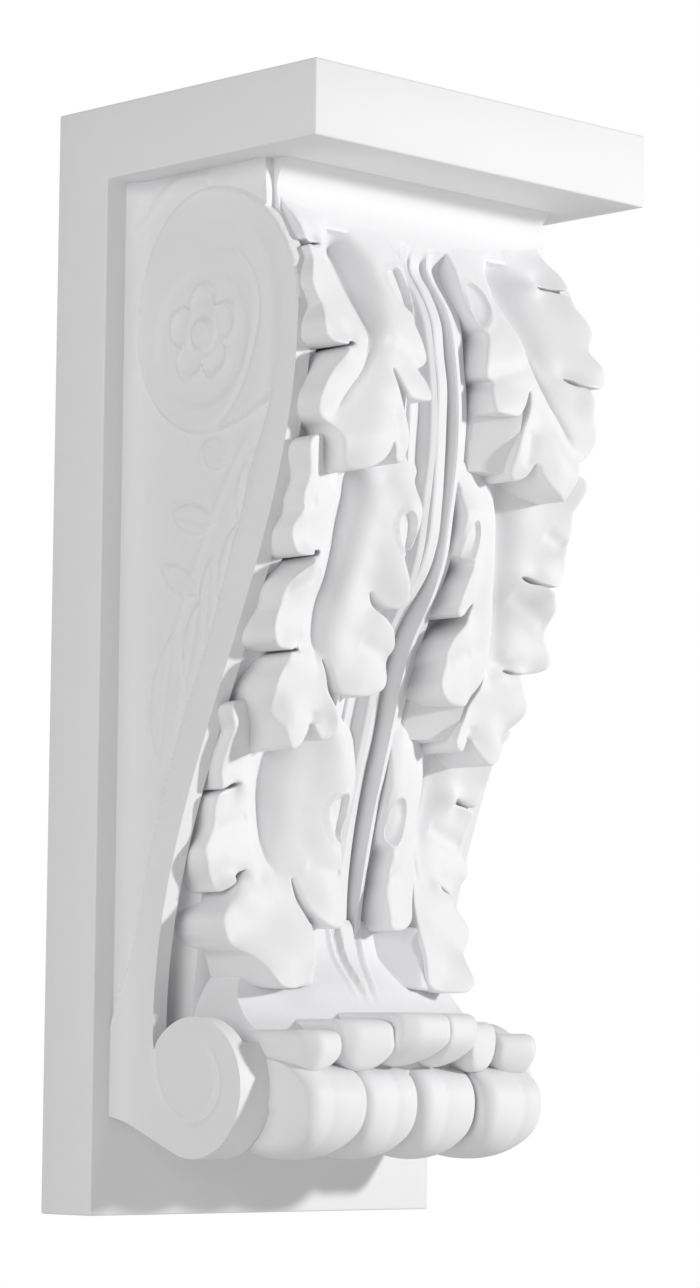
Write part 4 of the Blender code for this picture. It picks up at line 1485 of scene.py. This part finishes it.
def add_room(scene, strength):
    """A white room: bright to the camera, softer as a light."""
    world = bpy.data.worlds.new("white room")
    world.use_nodes = True
    scene.world = world
    tree = world.node_tree
    tree.nodes.clear()
    white = (1, 1, 1, 1)
    light_path = node(tree, "ShaderNodeLightPath", (-400, 200))
    seen = node(tree, "ShaderNodeBackground", (-200, 0), {"Color": white, "Strength": 1.0})
    lit = node(tree, "ShaderNodeBackground", (-200, -150), {"Color": white, "Strength": strength})
    mix = node(tree, "ShaderNodeMixShader", (0, 0))
    outlet = node(tree, "ShaderNodeOutputWorld", (200, 0))
    wired(
        tree,
        (light_path, "Is Camera Ray", mix, 0),
        (lit, 0, mix, 1),
        (seen, 0, mix, 2),
        (mix, 0, outlet, "Surface"),
    )


def add_floor(scene):
    """A wide pale floor, some way under the bracket."""
    deselect_all()
    bpy.ops.mesh.primitive_plane_add(size=FLOOR_WIDTH, location=(0, 0, 0))
    floor = bpy.context.object
    floor.name = "floor"
    for vertex in floor.data.vertices:
        vertex.co.z = LOW.z - scene.bracket_studio.floor_drop
    paint = bpy.data.materials.new("floor_paint")
    paint.use_nodes = True
    tree = paint.node_tree
    shader = tree.nodes["Principled BSDF"]
    shader.inputs["Roughness"].default_value = 0.9
    colour = scene.bracket_finish.floor
    paints = {"A": (*colour, 1), "B": (*(0.97 * part for part in colour), 1)}
    coords = node(tree, "ShaderNodeTexCoord", (-800, 0))
    cloud = node(tree, "ShaderNodeTexNoise", (-600, 0), {"Scale": 3})
    tone = node(tree, "ShaderNodeMix", (-300, 0), paints, data_type="RGBA")
    wired(
        tree,
        (coords, "Object", cloud, "Vector"),
        (cloud, "Fac", tone, "Factor"),
        (tone, "Result", shader, "Base Color"),
    )
    floor.data.materials.append(paint)


# ---------------------------------------------------------------- panel and registration


class BRACKET_PT_panel(bpy.types.Panel):
    """Lists the steps of the bracket in order"""

    bl_idname = "BRACKET_PT_panel"
    bl_label = "Console Bracket"
    bl_space_type = "VIEW_3D"
    bl_region_type = "UI"
    bl_category = "Bracket"

    def draw(self, context):
        for operator in OPERATORS:
            self.layout.operator(operator.bl_idname)
        for name in GROUPS:
            group = getattr(context.scene, name)
            box = self.layout.box()
            for key in group.bl_rna.properties.keys():
                if key not in ("rna_type", "name"):
                    box.prop(group, key)


GROUPS = {
    "bracket_block": BRACKET_BlockSizes,
    "bracket_scroll": BRACKET_ScrollSizes,
    "bracket_leaf": BRACKET_LeafSizes,
    "bracket_petals": BRACKET_PetalSizes,
    "bracket_finish": BRACKET_Finish,
    "bracket_studio": BRACKET_Studio,
}
OPERATORS = (
    BRACKET_OT_block,
    BRACKET_OT_scroll,
    BRACKET_OT_leaf,
    BRACKET_OT_petals,
    BRACKET_OT_cast,
    BRACKET_OT_studio,
)


def register():
    for group in (*GROUPS.values(), *OPERATORS, BRACKET_PT_panel):
        bpy.utils.register_class(group)
    for name, group in GROUPS.items():
        setattr(bpy.types.Scene, name, PointerProperty(type=group))


def unregister():
    for name in GROUPS:
        delattr(bpy.types.Scene, name)
    for group in reversed((*GROUPS.values(), *OPERATORS, BRACKET_PT_panel)):
        bpy.utils.unregister_class(group)


def main():
    register()
    for operator in OPERATORS:
        area, action = operator.bl_idname.split(".")
        if getattr(getattr(bpy.ops, area), action)() != {"FINISHED"}:
            raise RuntimeError(f"{operator.bl_label} did not finish")


if __name__ == "__main__":
    main()
